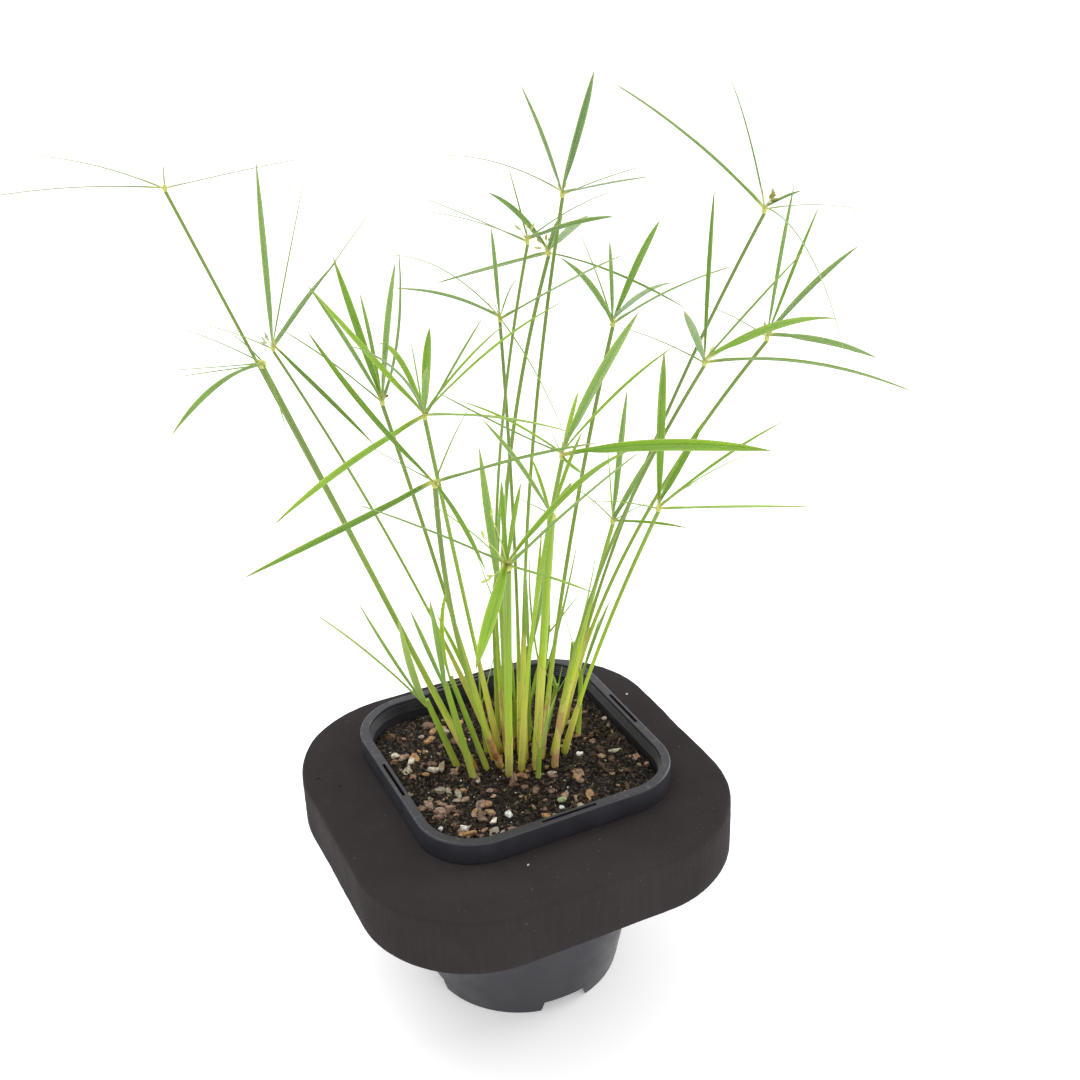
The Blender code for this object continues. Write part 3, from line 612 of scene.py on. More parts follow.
def leaf_surface(name, greens, rib_colour, foot_colour):
    """Blades: a green for each leaf, long veins, a pale midrib and edges, a yellow foot, a dry tip."""
    surface = Surface(name, 0.45, 0.22)
    along, across, tone, dry = surface.values("along", "across", "tone", "dry")
    aside = surface.math("ABSOLUTE", across)
    veins = surface.lanes(surface.times(across, 8.0), surface.times(along, 0.9),
                          surface.times(tone, 40.0))
    mottle = surface.spread(surface.noise(70.0, 3.0), 0.9, 1.1)
    brightness = surface.times(mottle, surface.spread(veins, 0.74, 1.22))
    body = surface.shade(surface.ramp(tone, greens), brightness)
    body = surface.blend(surface.range(aside, 0.02, 0.13, 0.5, 0.0), body, rib_colour)
    body = surface.blend(surface.range(aside, 0.78, 1.0, 0.0, 0.3), body, (0.36, 0.44, 0.20))
    body = surface.blend(surface.times(surface.value("kind"), 0.55), body, (0.20, 0.28, 0.13))
    body = surface.blend(surface.range(along, 0.0, 0.075, 0.9, 0.0), body, foot_colour)
    uneven = surface.math("ADD", along, surface.spread(veins, -0.05, 0.05))
    tip = surface.times(surface.range(uneven, 0.86, 0.99), dry)
    body = surface.blend(tip, body, (0.36, 0.26, 0.10))
    specks = surface.range(surface.noise(520.0, 2.0), 0.70, 0.75, 0.0, 0.6)
    body = surface.blend(surface.times(specks, dry), body, (0.22, 0.12, 0.04))
    surface.colour(body)
    surface.bump(veins, 0.00014, 0.7)
    surface.rough(surface.spread(surface.noise(140.0), 0.38, 0.56))
    surface.glow(0.22, 0.0016)
    return surface.material


def stem_surface(name):
    """Stems: amber at the soil, then cream, lime and green, with fine ridges and paler sheaths."""
    surface = Surface(name, 0.42, 0.25)
    along, across, tone, dry = surface.values("along", "across", "tone", "dry")
    wander = surface.spread(surface.noise(45.0), -0.035, 0.035)
    height = surface.math("ADD", along, wander)
    old = surface.ramp(height, (
        (0.0, (0.40, 0.22, 0.04)), (0.05, (0.56, 0.55, 0.09)), (0.20, (0.37, 0.47, 0.06)),
        (0.48, (0.20, 0.30, 0.050)), (1.0, (0.165, 0.235, 0.06))))
    young = surface.ramp(height, (
        (0.0, (0.54, 0.35, 0.045)), (0.05, (0.72, 0.72, 0.11)), (0.20, (0.58, 0.71, 0.065)),
        (0.48, (0.32, 0.48, 0.040)), (1.0, (0.20, 0.32, 0.05))))
    veins = surface.lanes(surface.times(across, 26.0), surface.times(along, 3.0),
                          surface.times(tone, 30.0), detail=2.0)
    culm = surface.blend(tone, old, young)
    patch = surface.range(surface.noise(85.0, 3.0, 0.6, (1.0, 1.0, 0.5)), 0.36, 0.58)
    worn = surface.math("MAXIMUM", surface.times(dry, patch), surface.range(dry, 0.85, 1.0, 0.0, 0.8))
    leafy = surface.ramp(worn, (
        (0.0, (0.66, 0.70, 0.10)), (0.35, (0.68, 0.64, 0.19)), (0.65, (0.55, 0.30, 0.15)),
        (1.0, (0.34, 0.13, 0.035))))
    low = surface.blend(surface.range(height, 0.02, 0.075, 0.85, 0.0), leafy, (0.40, 0.22, 0.045))
    sheathed = surface.blend(surface.range(height, 0.12, 0.42, 0.0, 0.75), low, culm)
    body = surface.blend(surface.value("kind"), culm, sheathed)
    body = surface.shade(body, surface.spread(veins, 0.78, 1.18))
    specks = surface.range(surface.noise(420.0, 2.0), 0.66, 0.72)
    reach = surface.range(along, 0.0, 0.4, 0.6, 0.0)
    surface.colour(surface.blend(surface.times(specks, reach), body, (0.17, 0.08, 0.03)))
    surface.bump(veins, 0.0002, 0.7)
    surface.glow(0.2, 0.002)
    return surface.material


def flower_surface(name):
    """Spikelets: red-brown, olive, straw, lime or pale, with lighter and darker scales."""
    surface = Surface(name, 0.6, 0.2)
    body = surface.ramp(surface.value("tone"), (
        (0.0, (0.13, 0.03, 0.015)), (0.3, (0.26, 0.26, 0.055)), (0.6, (0.42, 0.42, 0.16)),
        (0.8, (0.44, 0.52, 0.12)), (1.0, (0.44, 0.50, 0.33))))
    scales = surface.lanes(surface.times(surface.value("along"), 12.0),
                           surface.times(surface.value("across"), 4.0))
    body = surface.shade(body, 1.25)
    surface.colour(surface.shade(body, surface.spread(scales, 0.6, 1.3)))
    surface.bump(scales, 0.0002, 0.8)
    return surface.material


def pot_surface():
    """Black moulded plastic with a satin face, fine scuffs and a little pale dust."""
    surface = Surface("moulded_pot_plastic", 0.4, 0.5)
    cloud = surface.noise(22.0, 5.0)
    body = surface.blend(cloud, (0.013, 0.013, 0.018), (0.024, 0.024, 0.033))
    scuffs = surface.range(surface.noise(60.0, 5.0, 0.7, (7.0, 7.0, 1.0)), 0.62, 0.72, 0.0, 0.25)
    body = surface.blend(scuffs, body, (0.07, 0.07, 0.078))
    grit = surface.range(surface.noise(260.0, 6.0, 0.7), 0.55, 0.72, 0.0, 0.5)
    dusty = surface.times(grit, surface.range(surface.facing_up(), 0.1, 0.9))
    surface.colour(surface.blend(dusty, body, (0.15, 0.135, 0.115)))
    surface.rough(surface.spread(surface.noise(90.0, 5.0), 0.3, 0.5))
    surface.bump(surface.noise(900.0, 3.0), 0.0002, 0.12)
    return surface.material


def foam_surface():
    """Dark closed-cell foam: brown-black, fine cells on top, faint upright cuts on its sides."""
    surface = Surface("closed_cell_foam", 0.9, 0.12)
    cloud = surface.spread(surface.noise(14.0, 6.0, 0.6))
    body = surface.blend(cloud, (0.023, 0.018, 0.0175), (0.034, 0.028, 0.029))
    voronoi = surface.node("ShaderNodeTexVoronoi", Vector=surface.place(), Scale=900.0)
    cells = voronoi.outputs["Distance"]
    cut = surface.noise(26.0, 4.0, 0.65, (24.0, 24.0, 1.2))
    side = surface.range(surface.math("ABSOLUTE", surface.facing_up()), 0.3, 0.8, 1.0, 0.0)
    body = surface.blend(surface.times(side, surface.range(cut, 0.4, 0.65, 0.0, 0.16)), body,
                         (0.048, 0.040, 0.041))
    specks = surface.range(surface.noise(700.0, 2.0, 0.6), 0.73, 0.77, 0.0, 0.5)
    surface.colour(surface.blend(specks, body, (0.19, 0.17, 0.15)))
    relief = surface.math("ADD", surface.times(cells, 0.5), surface.times(cut, side, 0.6))
    surface.bump(relief, 0.0004, 0.7)
    surface.rough(surface.spread(surface.noise(60.0), 0.8, 0.96))
    return surface.material


def soil_surface():
    """Dark potting mix: each clod has its own shade, with fine fibre between."""
    surface = Surface("potting_mix", 0.95, 0.15)
    fine = surface.noise(620.0, 8.0, 0.75)
    grain = surface.ramp(fine, (
        (0.40, (0.004, 0.003, 0.0025)), (0.52, (0.026, 0.020, 0.016)),
        (0.60, (0.17, 0.135, 0.105)), (0.70, (0.42, 0.36, 0.29))))
    clod = surface.ramp(surface.value("tone"), (
        (0.0, (0.006, 0.004, 0.003)), (0.6, (0.036, 0.025, 0.019)),
        (0.9, (0.11, 0.078, 0.057)), (1.0, (0.20, 0.155, 0.12))))
    surface.colour(surface.blend(0.35, grain, clod))
    surface.bump(fine, 0.0016, 1.0)
    return surface.material


def crumb_surface():
    """Loose pieces by tone: peat, bark, wood, stone, perlite. Some are green."""
    surface = Surface("bark_and_perlite", 0.9, 0.15)
    body = surface.ramp(surface.value("tone"), (
        (0.0, (0.012, 0.009, 0.007)), (0.3, (0.060, 0.042, 0.030)), (0.45, (0.16, 0.095, 0.062)),
        (0.57, (0.34, 0.235, 0.175)), (0.7, (0.44, 0.25, 0.115)), (0.76, (0.36, 0.31, 0.24)),
        (0.88, (0.64, 0.57, 0.45)), (1.0, (0.86, 0.85, 0.82))))
    fine = surface.noise(650.0, 6.0, 0.65)
    fibre = surface.lanes(surface.times(surface.value("across"), 9.0), surface.value("along"))
    body = surface.shade(body, surface.range(fine, 0.34, 0.62, 0.42, 1.3))
    body = surface.shade(body, surface.spread(fibre, 0.7, 1.2))
    body = surface.blend(surface.times(surface.value("kind"), 0.75), body, (0.22, 0.30, 0.07))
    surface.colour(body)
    surface.bump(fine, 0.0009, 1.0)
    return surface.material


def around(sides):
    """Each side of a round section, as a share of the turn and as an angle."""
    return [(side / sides, 2.0 * math.pi * side / sides) for side in range(sides)]


def radial(aside, upward, angle, reach):
    """A step of a given length away from a path, at an angle round it."""
    return aside * (reach * math.cos(angle)) + upward * (reach * math.sin(angle))


def rounded_reach(angle, half, radius):
    """Distance from the centre to the edge of a rounded square."""
    along = max(abs(math.cos(angle)), abs(math.sin(angle)))
    aside = min(abs(math.cos(angle)), abs(math.sin(angle)))
    straight = half - radius
    if half * aside <= straight * along:
        return half / along
    return straight * (along + aside) + math.sqrt(radius ** 2 - (straight * (along - aside)) ** 2)


def ring_angles(half, radius, corner_steps, side_steps):
    """Directions that follow a rounded square: close together at its corners."""
    straight = half - radius
    angles = []
    for quarter in range(4):
        for step in range(corner_steps + 1):
            turn = math.pi / 2 * step / corner_steps
            x = straight + radius * math.cos(turn)
            y = straight + radius * math.sin(turn)
            angles.append(math.atan2(y, x) + quarter * math.pi / 2)
        for step in range(1, side_steps):
            x = mix(straight, -straight, step / side_steps)
            angles.append(math.atan2(half, x) + quarter * math.pi / 2)
    return angles


# Directions that every ring of the pot and the collar shares
FINE_ANGLES = ring_angles(RIM_HALF, RIM_RADIUS, RING_CORNER_STEPS, RING_SIDE_STEPS)


def ring(shape, half, radius, height, centre=(0.0, 0.0), angles=FINE_ANGLES):
    """Points round one level of a rounded square."""
    made = []
    for angle in angles:
        reach = rounded_reach(angle, half, radius)
        place = (centre[0] + reach * math.cos(angle), centre[1] + reach * math.sin(angle), height)
        made.append(shape.point(place))
    return made


def pot_wall(height, inset=0.0):
    """Half width and corner radius of the pot's outer wall, which turns from round to square."""
    share = height / (POT_HEIGHT - FLANGE_THICKNESS)
    half = mix(FOOT_RADIUS, RIM_HALF - FLANGE_WIDTH + WALL, share)
    radius = mix(FOOT_RADIUS, RIM_RADIUS - FLANGE_WIDTH + WALL, share)
    return half - inset, radius - inset


def turned_box(name, corners, low, high, angle, material):
    """A closed block over a four-cornered outline, turned about the pot's axis. It only cuts."""
    shape = Shape()
    turn = Matrix.Rotation(angle, 3, "Z")
    rows = []
    for height, outline in ((low, corners[0]), (high, corners[1])):
        rows.append([shape.point(turn @ Vector((x, y, height))) for x, y in outline])
    shape.stack(rows)
    shape.cap(rows[0])
    shape.cap(rows[1][::-1])
    return shape.add_object(name, material)


def cut_away(target, cutters):
    """Applies exact cuts and removes the cutters."""
    for cutter in cutters:
        modifier = target.modifiers.new("cut", "BOOLEAN")
        modifier.operation = "DIFFERENCE"
        modifier.solver = "EXACT"
        modifier.object = cutter
    bpy.context.view_layer.update()
    graph = bpy.context.evaluated_depsgraph_get()
    mesh = bpy.data.meshes.new_from_object(target.evaluated_get(graph))
    target.modifiers.clear()
    target.data = mesh
    for cutter in cutters:
        bpy.data.objects.remove(cutter, do_unlink=True)
    mesh.shade_smooth()
    mesh.set_sharp_from_angle(angle=math.radians(SHARP_POT_EDGE))


def edge_arc(half, radius, height, size, start, end, steps=4):
    """Levels of a rounded edge: its centre's half width, corner radius and height, and its turn."""
    levels = []
    for step in range(steps + 1):
        turn = math.radians(mix(start, end, step / steps))
        out = size * math.cos(turn)
        levels.append((half + out, radius + out, height + size * math.sin(turn)))
    return levels


def at_foot(inset, height):
    """A round level of the pot's foot."""
    return FOOT_RADIUS - inset, FOOT_RADIUS - inset, height


def at_rim(inset, drop):
    """A square level of the pot's rim."""
    return RIM_HALF - inset, RIM_RADIUS - inset, POT_HEIGHT - drop


def at_wall(height, inset=0.0):
    """A level of the pot's wall."""
    return (*pot_wall(height, inset), height)


def pot_levels():
    """The pot's outline from under its floor, round the foot, up and over the rim, to the floor."""
    levels = [at_foot(FOOT_WALL, FLOOR_UNDERSIDE), at_foot(FOOT_WALL, FOOT_LIP)]
    levels += [at_foot(FOOT_WALL - FOOT_LIP, 0.0), at_foot(FOOT_TREAD, 0.0)]
    levels += edge_arc(*at_foot(FOOT_EDGE, FOOT_EDGE), FOOT_EDGE, -60, 0)
    levels += [at_wall(height) for height in OUTER_LEVELS]
    levels += [at_rim(*level) for level in SKIRT_LEVELS]
    levels += edge_arc(*at_rim(0.3, SKIRT_DEPTH - SKIRT_EDGE), SKIRT_EDGE, -70, 0)
    levels += [at_rim(-SKIRT_BULGE, SKIRT_MIDDLE)]
    levels += edge_arc(*at_rim(RIM_EDGE, RIM_EDGE), RIM_EDGE, 0, 84, 6)
    levels += [at_rim(*level) for level in FLANGE_LEVELS]
    levels += edge_arc(*at_rim(FLANGE_WIDTH - FLANGE_EDGE, FLANGE_EDGE), FLANGE_EDGE, 90, 180)
    for index in range(RIB_COUNT):
        rib = POT_HEIGHT - RIB_DROP - RIB_PITCH * index
        half, radius = pot_wall(rib, WALL)
        crest = (half - RIB_DEPTH, radius - RIB_DEPTH)
        levels += [(half, radius, rib + RIB_FOOT), (*crest, rib + RIB_CREST)]
        levels += [(*crest, rib - RIB_CREST), (half, radius, rib - RIB_FOOT)]
    return levels + [at_wall(height, WALL) for height in INNER_LEVELS]


def block_outline(inner, outer, half_length):
    """Four corners of a block that a slot or a notch is cut with."""
    return ((inner, -half_length), (outer, -half_length), (outer, half_length), (inner, half_length))


def build_pot(material):
    """The pot with rounded edges, ribs inside its rim, slots in its flange and notches in its foot."""
    shape = Shape()
    rings = [ring(shape, *level) for level in pot_levels()]
    shape.stack(rings)
    shape.cap(rings[0])
    shape.cap(rings[-1][::-1])
    pot = shape.add_object("pot_moulding", material, SHARP_POT_EDGE)
    slot_in = RIM_HALF - FLANGE_WIDTH + WALL + SLOT_OFFSET
    slot = block_outline(slot_in, slot_in + SLOT_WIDTH, SLOT_LENGTH / 2)
    notch_in = FOOT_RADIUS - NOTCH_REACH_IN
    notch_out = FOOT_RADIUS + NOTCH_REACH_OUT
    notch_low = block_outline(notch_in, notch_out, NOTCH_WIDTH / 2)
    notch_high = block_outline(notch_in, notch_out, (NOTCH_WIDTH - NOTCH_NARROWING) / 2)
    blocks = (
        ("slot", (slot, slot), POT_HEIGHT - SLOT_DEPTH, POT_HEIGHT + CUT_MARGIN),
        ("notch", (notch_low, notch_high), -CUT_MARGIN, NOTCH_ROOF),
    )
    cutters = []
    for index in range(4):
        for name, outlines, low, high in blocks:
            angle = index * math.pi / 2
            cutters.append(turned_box(f"{name}_{index}", outlines, low, high, angle, material))
    cut_away(pot, cutters)
    keep(pot, "pot_plastic", "pot")


def build_collar(material):
    """The foam collar, with soft edges and a slightly uneven cut."""
    top = COLLAR_TOP
    bottom = top - COLLAR_THICKNESS
    edge = COLLAR_EDGE
    half = COLLAR_HALF - edge
    radius = COLLAR_RADIUS - edge
    levels = edge_arc(half, radius, bottom + edge, edge, -90, 0, 5)
    for step in range(1, COLLAR_STEPS):
        height = mix(bottom + edge, top - edge, step / COLLAR_STEPS)
        levels.append((COLLAR_HALF, COLLAR_RADIUS, height))
    levels += edge_arc(half, radius, top - edge, edge, 0, 90, 5)
    shape = Shape()
    rings = [ring(shape, *level, COLLAR_CENTRE) for level in levels]
    hole_half, hole_radius = pot_wall(top, -GAP)
    for step in range(1, COLLAR_STEPS):
        share = step / COLLAR_STEPS
        centre = (COLLAR_CENTRE[0] * (1 - share), COLLAR_CENTRE[1] * (1 - share))
        reach = (mix(half, hole_half, share), mix(radius, hole_radius, share))
        rings.append(ring(shape, *reach, top, centre))
    rings.append(ring(shape, hole_half, hole_radius, top))
    rings.append(ring(shape, *pot_wall(bottom, -GAP), bottom))
    shape.stack(rings + rings[:1])
    collar = shape.add_object("foam_ring", material, 50)
    for vertex in collar.data.vertices:
        place = vertex.co / MM
        away = smooth(math.hypot(place.x, place.y), *COLLAR_UNEVEN_FROM)
        if away > 0.0:
            slow = COLLAR_SLOW_WAVE * noise.noise(place * 0.035)
            quick = COLLAR_QUICK_WAVE * noise.noise(place * 0.4 + Vector((7.0, 3.0, 1.0)))
            push = (slow + quick) * away
            outward = Vector((place.x, place.y, 0.0)).normalized()
            vertex.co += (outward * push + Vector((0.0, 0.0, COLLAR_RISE * push))) * MM
    keep(collar, "collar_foam", "foam_collar")


def soil_at(x, y):
    """Height of the lumpy soil at a place, and the shade of the clod there."""
    wide = SOIL_WAVE * noise.noise(Vector((x * 0.05, y * 0.05, 1.7)))
    grit = SOIL_GRIT * noise.noise(Vector((x * 0.9, y * 0.9, 9.3)))
    distances, centres = noise.voronoi(Vector((x * 0.34, y * 0.34, 5.1)))
    clod = CLOD_HEIGHT * max(0.0, CLOD_REACH - distances[0]) * noise.cell(centres[0] * 5.0)
    shade = noise.cell(centres[0] * 3.0)
    return SOIL_TOP + SOIL_LIFT + wide + grit + clod, shade


def build_soil(material):
    """The soil's lumpy surface, closed below like the solid that it stands for."""
    shape = Shape()
    inset = WALL + SOIL_INSET
    angles = ring_angles(RIM_HALF, RIM_RADIUS, SOIL_CORNER_STEPS, SOIL_SIDE_STEPS)
    half, radius = pot_wall(SOIL_TOP, inset)
    rings = []
    for height in (FLOOR_TOP + GAP, SOIL_TOP / 2, SOIL_TOP - 3.0):
        rings.append(ring(shape, *pot_wall(height, inset), height, angles=angles))
    for step in range(SOIL_RINGS):
        share = 1.0 - step / SOIL_RINGS
        made = []
        for angle in angles:
            reach = rounded_reach(angle, half, radius) * share
            x = reach * math.cos(angle)
            y = reach * math.sin(angle)
            height, shade = soil_at(x, y)
            made.append(shape.point((x, y, height), tone=shade))
        rings.append(made)
    shape.stack(rings)
    height, shade = soil_at(0.0, 0.0)
    shape.fan(rings[-1], shape.point((0.0, 0.0, height), tone=shade))
    shape.cap(rings[0])
    keep(shape.add_object("soil_bed", material), "potting_soil", "soil")


def rest_height(x, y):
    """What a loose piece lies on: the soil, or the collar's top outside the pot."""
    inside = max(abs(x), abs(y)) < RIM_HALF
    return soil_at(x, y)[0] if inside else COLLAR_TOP


def lump(shape, x, y, size, turn, tone, pick, greenness=0.0):
    """One loose piece: an uneven block, thick or flat, that leans and rests a little sunk."""
    long, wide, tall = size
    tilt = Matrix.Rotation(pick.uniform(-0.5, 0.5), 3, "Y")
    lean = Matrix.Rotation(math.radians(turn), 3, "Z") @ tilt
    centre = Vector((x, y, rest_height(x, y) + tall * CRUMB_SINK))
    reaches = [pick.uniform(0.62, 1.2) for _ in range(CRUMB_SIDES)]
    rings = []
    for height, swell in CRUMB_LEVELS:
        made = []
        for (_, angle), corner in zip(around(CRUMB_SIDES), reaches):
            across = math.cos(angle)
            forward = math.sin(angle)
            reach = corner * swell * pick.uniform(0.78, 1.12) / 2
            level = tall * (height + pick.uniform(-0.12, 0.12))
            place = centre + lean @ Vector((long * reach * across, wide * reach * forward, level))
            made.append(shape.point(place, across, forward, tone, greenness))
        rings.append(made)
    ends = []
    for height in (-0.5, pick.uniform(0.42, 0.6)):
        place = centre + lean @ Vector((0.0, 0.0, tall * height))
        ends.append(shape.point(place, tone=tone, kind=greenness))
    shape.close(rings, *ends)


def build_litter(material):
    """Bark, wood, perlite and crumbs on the soil, with a few grains on the collar."""
    pick = random.Random("litter")
    shape = Shape()
    for x, y, long, wide, turn, tone, *green in LITTER:
        size = (long, wide, wide * pick.uniform(0.45, 0.7))
        lump(shape, x, y, size, turn, tone, pick, *green)
    reach = pot_wall(SOIL_TOP, WALL)[0] - LITTER_MARGIN
    for count, smallest, largest, tones in CRUMBS:
        for _ in range(count):
            x = pick.uniform(-reach, reach)
            y = pick.uniform(-reach, reach)
            tone = pick.uniform(*tones)
            # Bark lies thickest at the left and in front of the clump
            if tone > BARK_TONE and x + y * 0.4 > pick.uniform(-40.0, 110.0):
                tone *= FADED_BARK
            if math.hypot(x, y) < reach * 1.12:
                long = pick.uniform(smallest, largest)
                thickness = FLAKE_THICKNESS if long > FLAKE_LENGTH else CRUMB_THICKNESS
                size = (long, long * pick.uniform(0.4, 0.8), long * pick.uniform(*thickness))
                lump(shape, x, y, size, pick.uniform(0.0, 180.0), tone, pick)
    for foot, *_ in [*STEMS.values(), *SHOOTS.values()]:
        for _ in range(FOOT_CRUMBS):
            turn = pick.uniform(0.0, 2.0 * math.pi)
            away = pick.uniform(*FOOT_CRUMB_REACH)
            long = pick.uniform(1.2, 2.8)
            size = (long, long * pick.uniform(0.5, 0.9), long * pick.uniform(0.4, 0.7))
            x = foot[0] + away * math.cos(turn)
            y = foot[1] + away * math.sin(turn)
            lump(shape, x, y, size, pick.uniform(0.0, 180.0), pick.uniform(0.0, 0.34), pick)
    for _ in range(MOSS_DOTS):
        x = pick.uniform(-reach, reach)
        y = pick.uniform(-reach, reach) * 0.6
        long = pick.uniform(0.6, 1.5)
        lump(shape, x, y, (long, long, long * 0.6), 0.0, MOSS_TONE, pick, 1.0)
    keep(shape.add_object("soil_litter", material, 22), "potting_soil")


def frames(points):
    """Each point of a path with its direction and two directions square to it."""
    last = len(points) - 1
    found = []
    for index, point in enumerate(points):
        direction = (points[min(last, index + 1)] - points[max(0, index - 1)]).normalized()
        aside = direction.cross(SKEW).normalized()
        found.append((point, direction, aside, aside.cross(direction)))
    return found


def tube(shape, points, radii, numbers, sides=12, ripple=0.07, turn=0.0):
    """A round, slightly three-cornered tube. numbers gives along, tone, kind and dry at each point."""
    rings = []
    for (point, _, *sideways), radius, (along, *looks) in zip(frames(points), radii, numbers):
        made = []
        for share, angle in around(sides):
            reach = radius * (1.0 + ripple * math.cos(3.0 * (angle + turn)))
            place = point + radial(*sideways, angle, reach)
            made.append(shape.point(place, along, share, *looks))
        rings.append(made)
    ends = [shape.point(points[end], numbers[end][0], 0.5, *numbers[end][1:]) for end in (0, -1)]
    shape.close(rings, *ends)


def stem_path(foot, hub, bow):
    """Points of a stem that bends sideways in one smooth arc."""
    start = Vector((foot[0], foot[1], STEM_START - STEM_DEPTH))
    end = Vector((hub[0], hub[1], hub[2] - GAP))
    middle = (start + end) / 2 + Vector((ACROSS[0] * bow, ACROSS[1] * bow, 0.0))
    points = []
    for step in range(STEM_STEPS + 1):
        share = step / STEM_STEPS
        rest = 1.0 - share
        points.append(start * rest ** 2 + middle * 2.0 * share * rest + end * share ** 2)
    return points


def build_stem(key, material):
    """One stem: a long tapering tube, with a sheath round its foot that ends in a slanting mouth."""
    foot, hub, bow, top_radius = STEMS[key]
    pick = random.Random("stem " + key)
    points = stem_path(foot, hub, bow)
    length = (points[-1] - points[0]).length
    tone = pick.uniform(0.6, 1.0) if key in FRESH_UMBRELLAS else pick.uniform(0.0, 0.45)
    radii = []
    numbers = []
    for step in range(STEM_STEPS + 1):
        share = step / STEM_STEPS
        radii.append(mix(STEM_FOOT_RADIUS, top_radius, min(1.0, share / SHEATH_SHARE)) * SKIN_SHARE)
        numbers.append((share * length / COLOUR_REACH, tone, 0.0, 0.0))
    shape = Shape()
    tube(shape, points, radii, numbers, turn=pick.uniform(0.0, 6.0))
    dryness = DRY_SHEATHS.get(key, pick.uniform(0.0, 0.22))
    height = pick.uniform(*(DRY_SHEATH_HEIGHTS if dryness > 0.45 else SHEATH_HEIGHTS))
    last = max(SHEATH_MOUTH_STEPS + 2, round(height / length * STEM_STEPS))
    sheath(shape, points[:last + 1], radii, numbers, dryness, pick)
    keep(shape.add_object("culm_" + key, material, 60), "stem_green", "stem_" + key)


def sheath(shape, points, radii, numbers, dryness, pick):
    """A thin sleeve round the stem's foot. Its mouth slants, ends in a point and is brown-edged."""
    mouth = pick.uniform(0.0, 2.0 * math.pi)
    slant = pick.uniform(*SHEATH_SLANTS)
    last = len(points) - 1
    walls = ([], [])
    for index, (point, direction, *sideways) in enumerate(frames(points)):
        end = smooth(index, last - SHEATH_MOUTH_STEPS, last)
        along, tone = numbers[index][:2]
        dry = max(dryness, SHEATH_RIM_DRYNESS) if index == last else dryness
        for wall, offset in zip(walls, (SHEATH_OFFSET, SHEATH_OFFSET - SHEATH_THICKNESS)):
            reach = radii[index] + offset * (1.0 - SHEATH_CLOSING * end)
            made = []
            for share, angle in around(SHEATH_SIDES):
                lean = (0.5 + 0.5 * math.cos(angle - mouth)) ** 2
                lift = direction * (end * slant * (lean - SHEATH_LOW_SIDE))
                place = point + radial(*sideways, angle, reach) + lift
                made.append(shape.point(place, along, share, tone, 1.0, dry))
            wall.append(made)
    outer, inner = walls
    shape.stack(outer + inner[::-1] + outer[:1])


def blade_share(along, thread):
    """Share of the leaf's width at a share of its length."""
    if thread:
        rest = 1.0 - along
        return THREAD_SHARE * rest ** THREAD_TAPER + THREAD_FOOT * rest
    if along <= BLADE_WIDEST:
        return mix(BLADE_FOOT_SHARE, 1.0, math.sin(math.pi / 2 * along / BLADE_WIDEST))
    return 1.0 - ((along - BLADE_WIDEST) / (1.0 - BLADE_WIDEST)) ** BLADE_TAPER


def blade(shape, root, leaf, pick, tone, turned=0.0):
    """One folded leaf, a thin closed sheet that follows its solid's path."""
    heading, rise, length, width, fall = leaf
    thread = width == THIN
    sway = pick.uniform(-BLADE_SWAY, BLADE_SWAY)
    wave = pick.uniform(-BLADE_WAVE, BLADE_WAVE)
    twist_end = math.radians(pick.uniform(-BLADE_TWIST, BLADE_TWIST))
    thickness = THREAD_THICKNESS if thread else BLADE_THICKNESS
    fold = pick.uniform(*BLADE_FOLDS)
    dry = pick.choice(DRY_TIPS)
    point = root.copy()
    rows = []
    for step in range(BLADE_STEPS):
        share = step / BLADE_STEPS
        course = heading + sway * share + wave * math.sin(5.0 * share)
        direction = aim(course, rise - fall * share)
        if step:
            point = point + direction * (length / BLADE_STEPS)
        level = aim(course + 90.0, 0.0)
        twist = twist_end * share + math.radians(turned) * smooth(share, 0.0, 0.3)
        aside = Matrix.Rotation(twist, 3, direction) @ level
        upward = direction.cross(aside).normalized()
        if upward.z < 0.0 and abs(rise - fall * share) < 85.0:
            upward = -upward
        half = width / 2 * max(0.04, blade_share(share, thread))
        closing = mix(FOOT_FOLD, fold, smooth(share, *FOOT_FOLD_REACH))
        closing += TIP_FOLD * smooth(share, *TIP_FOLD_REACH)
        squeeze = 1.0 / math.sqrt(1.0 + closing * closing * 0.6)
        body = thickness * mix(1.0, TIP_THINNING, share)
        over = []
        under = []
        for across in SECTION:
            skin = body * (1.0 - EDGE_THINNING * abs(across))
            lift = closing * half * abs(across) * squeeze
            centre = point + aside * (half * across * squeeze) + upward * lift
            over.append(shape.point(centre + upward * skin * 0.5, share, across, tone, 0.0, dry))
            if abs(across) < 1.0:
                keel = KEEL_SHARE * body if across == 0.0 else 0.0
                place = centre - upward * (skin * 0.5 + keel)
                under.append(shape.point(place, share, across, tone, 1.0, dry))
        rows.append(over + under[::-1])
    shape.stack(rows)
    tip = point + direction * (length / BLADE_STEPS)
    shape.fan(rows[-1], shape.point(tip, 1.0, 0.0, tone, 0.0, dry))
    shape.cap(rows[0])


def knob(shape, centre, radius, height, tone):
    """The swollen joint where leaves meet. Its colour is the leaves' foot colour."""
    rings = []
    for share, swell in HUB_LEVELS:
        made = []
        for _, angle in around(HUB_SIDES):
            reach = radius * swell * (1.0 + 0.08 * math.sin(5.0 * angle + 9.0 * share))
            level = height * (share - 0.5)
            place = centre + Vector((reach * math.cos(angle), reach * math.sin(angle), level))
            made.append(shape.point(place, 0.0, 0.3, tone))
        rings.append(made)
    ends = []
    for share in (-0.5, 0.45):
        ends.append(shape.point(centre + Vector((0.0, 0.0, height * share)), 0.0, 0.3, tone))
    shape.close(rings, *ends)


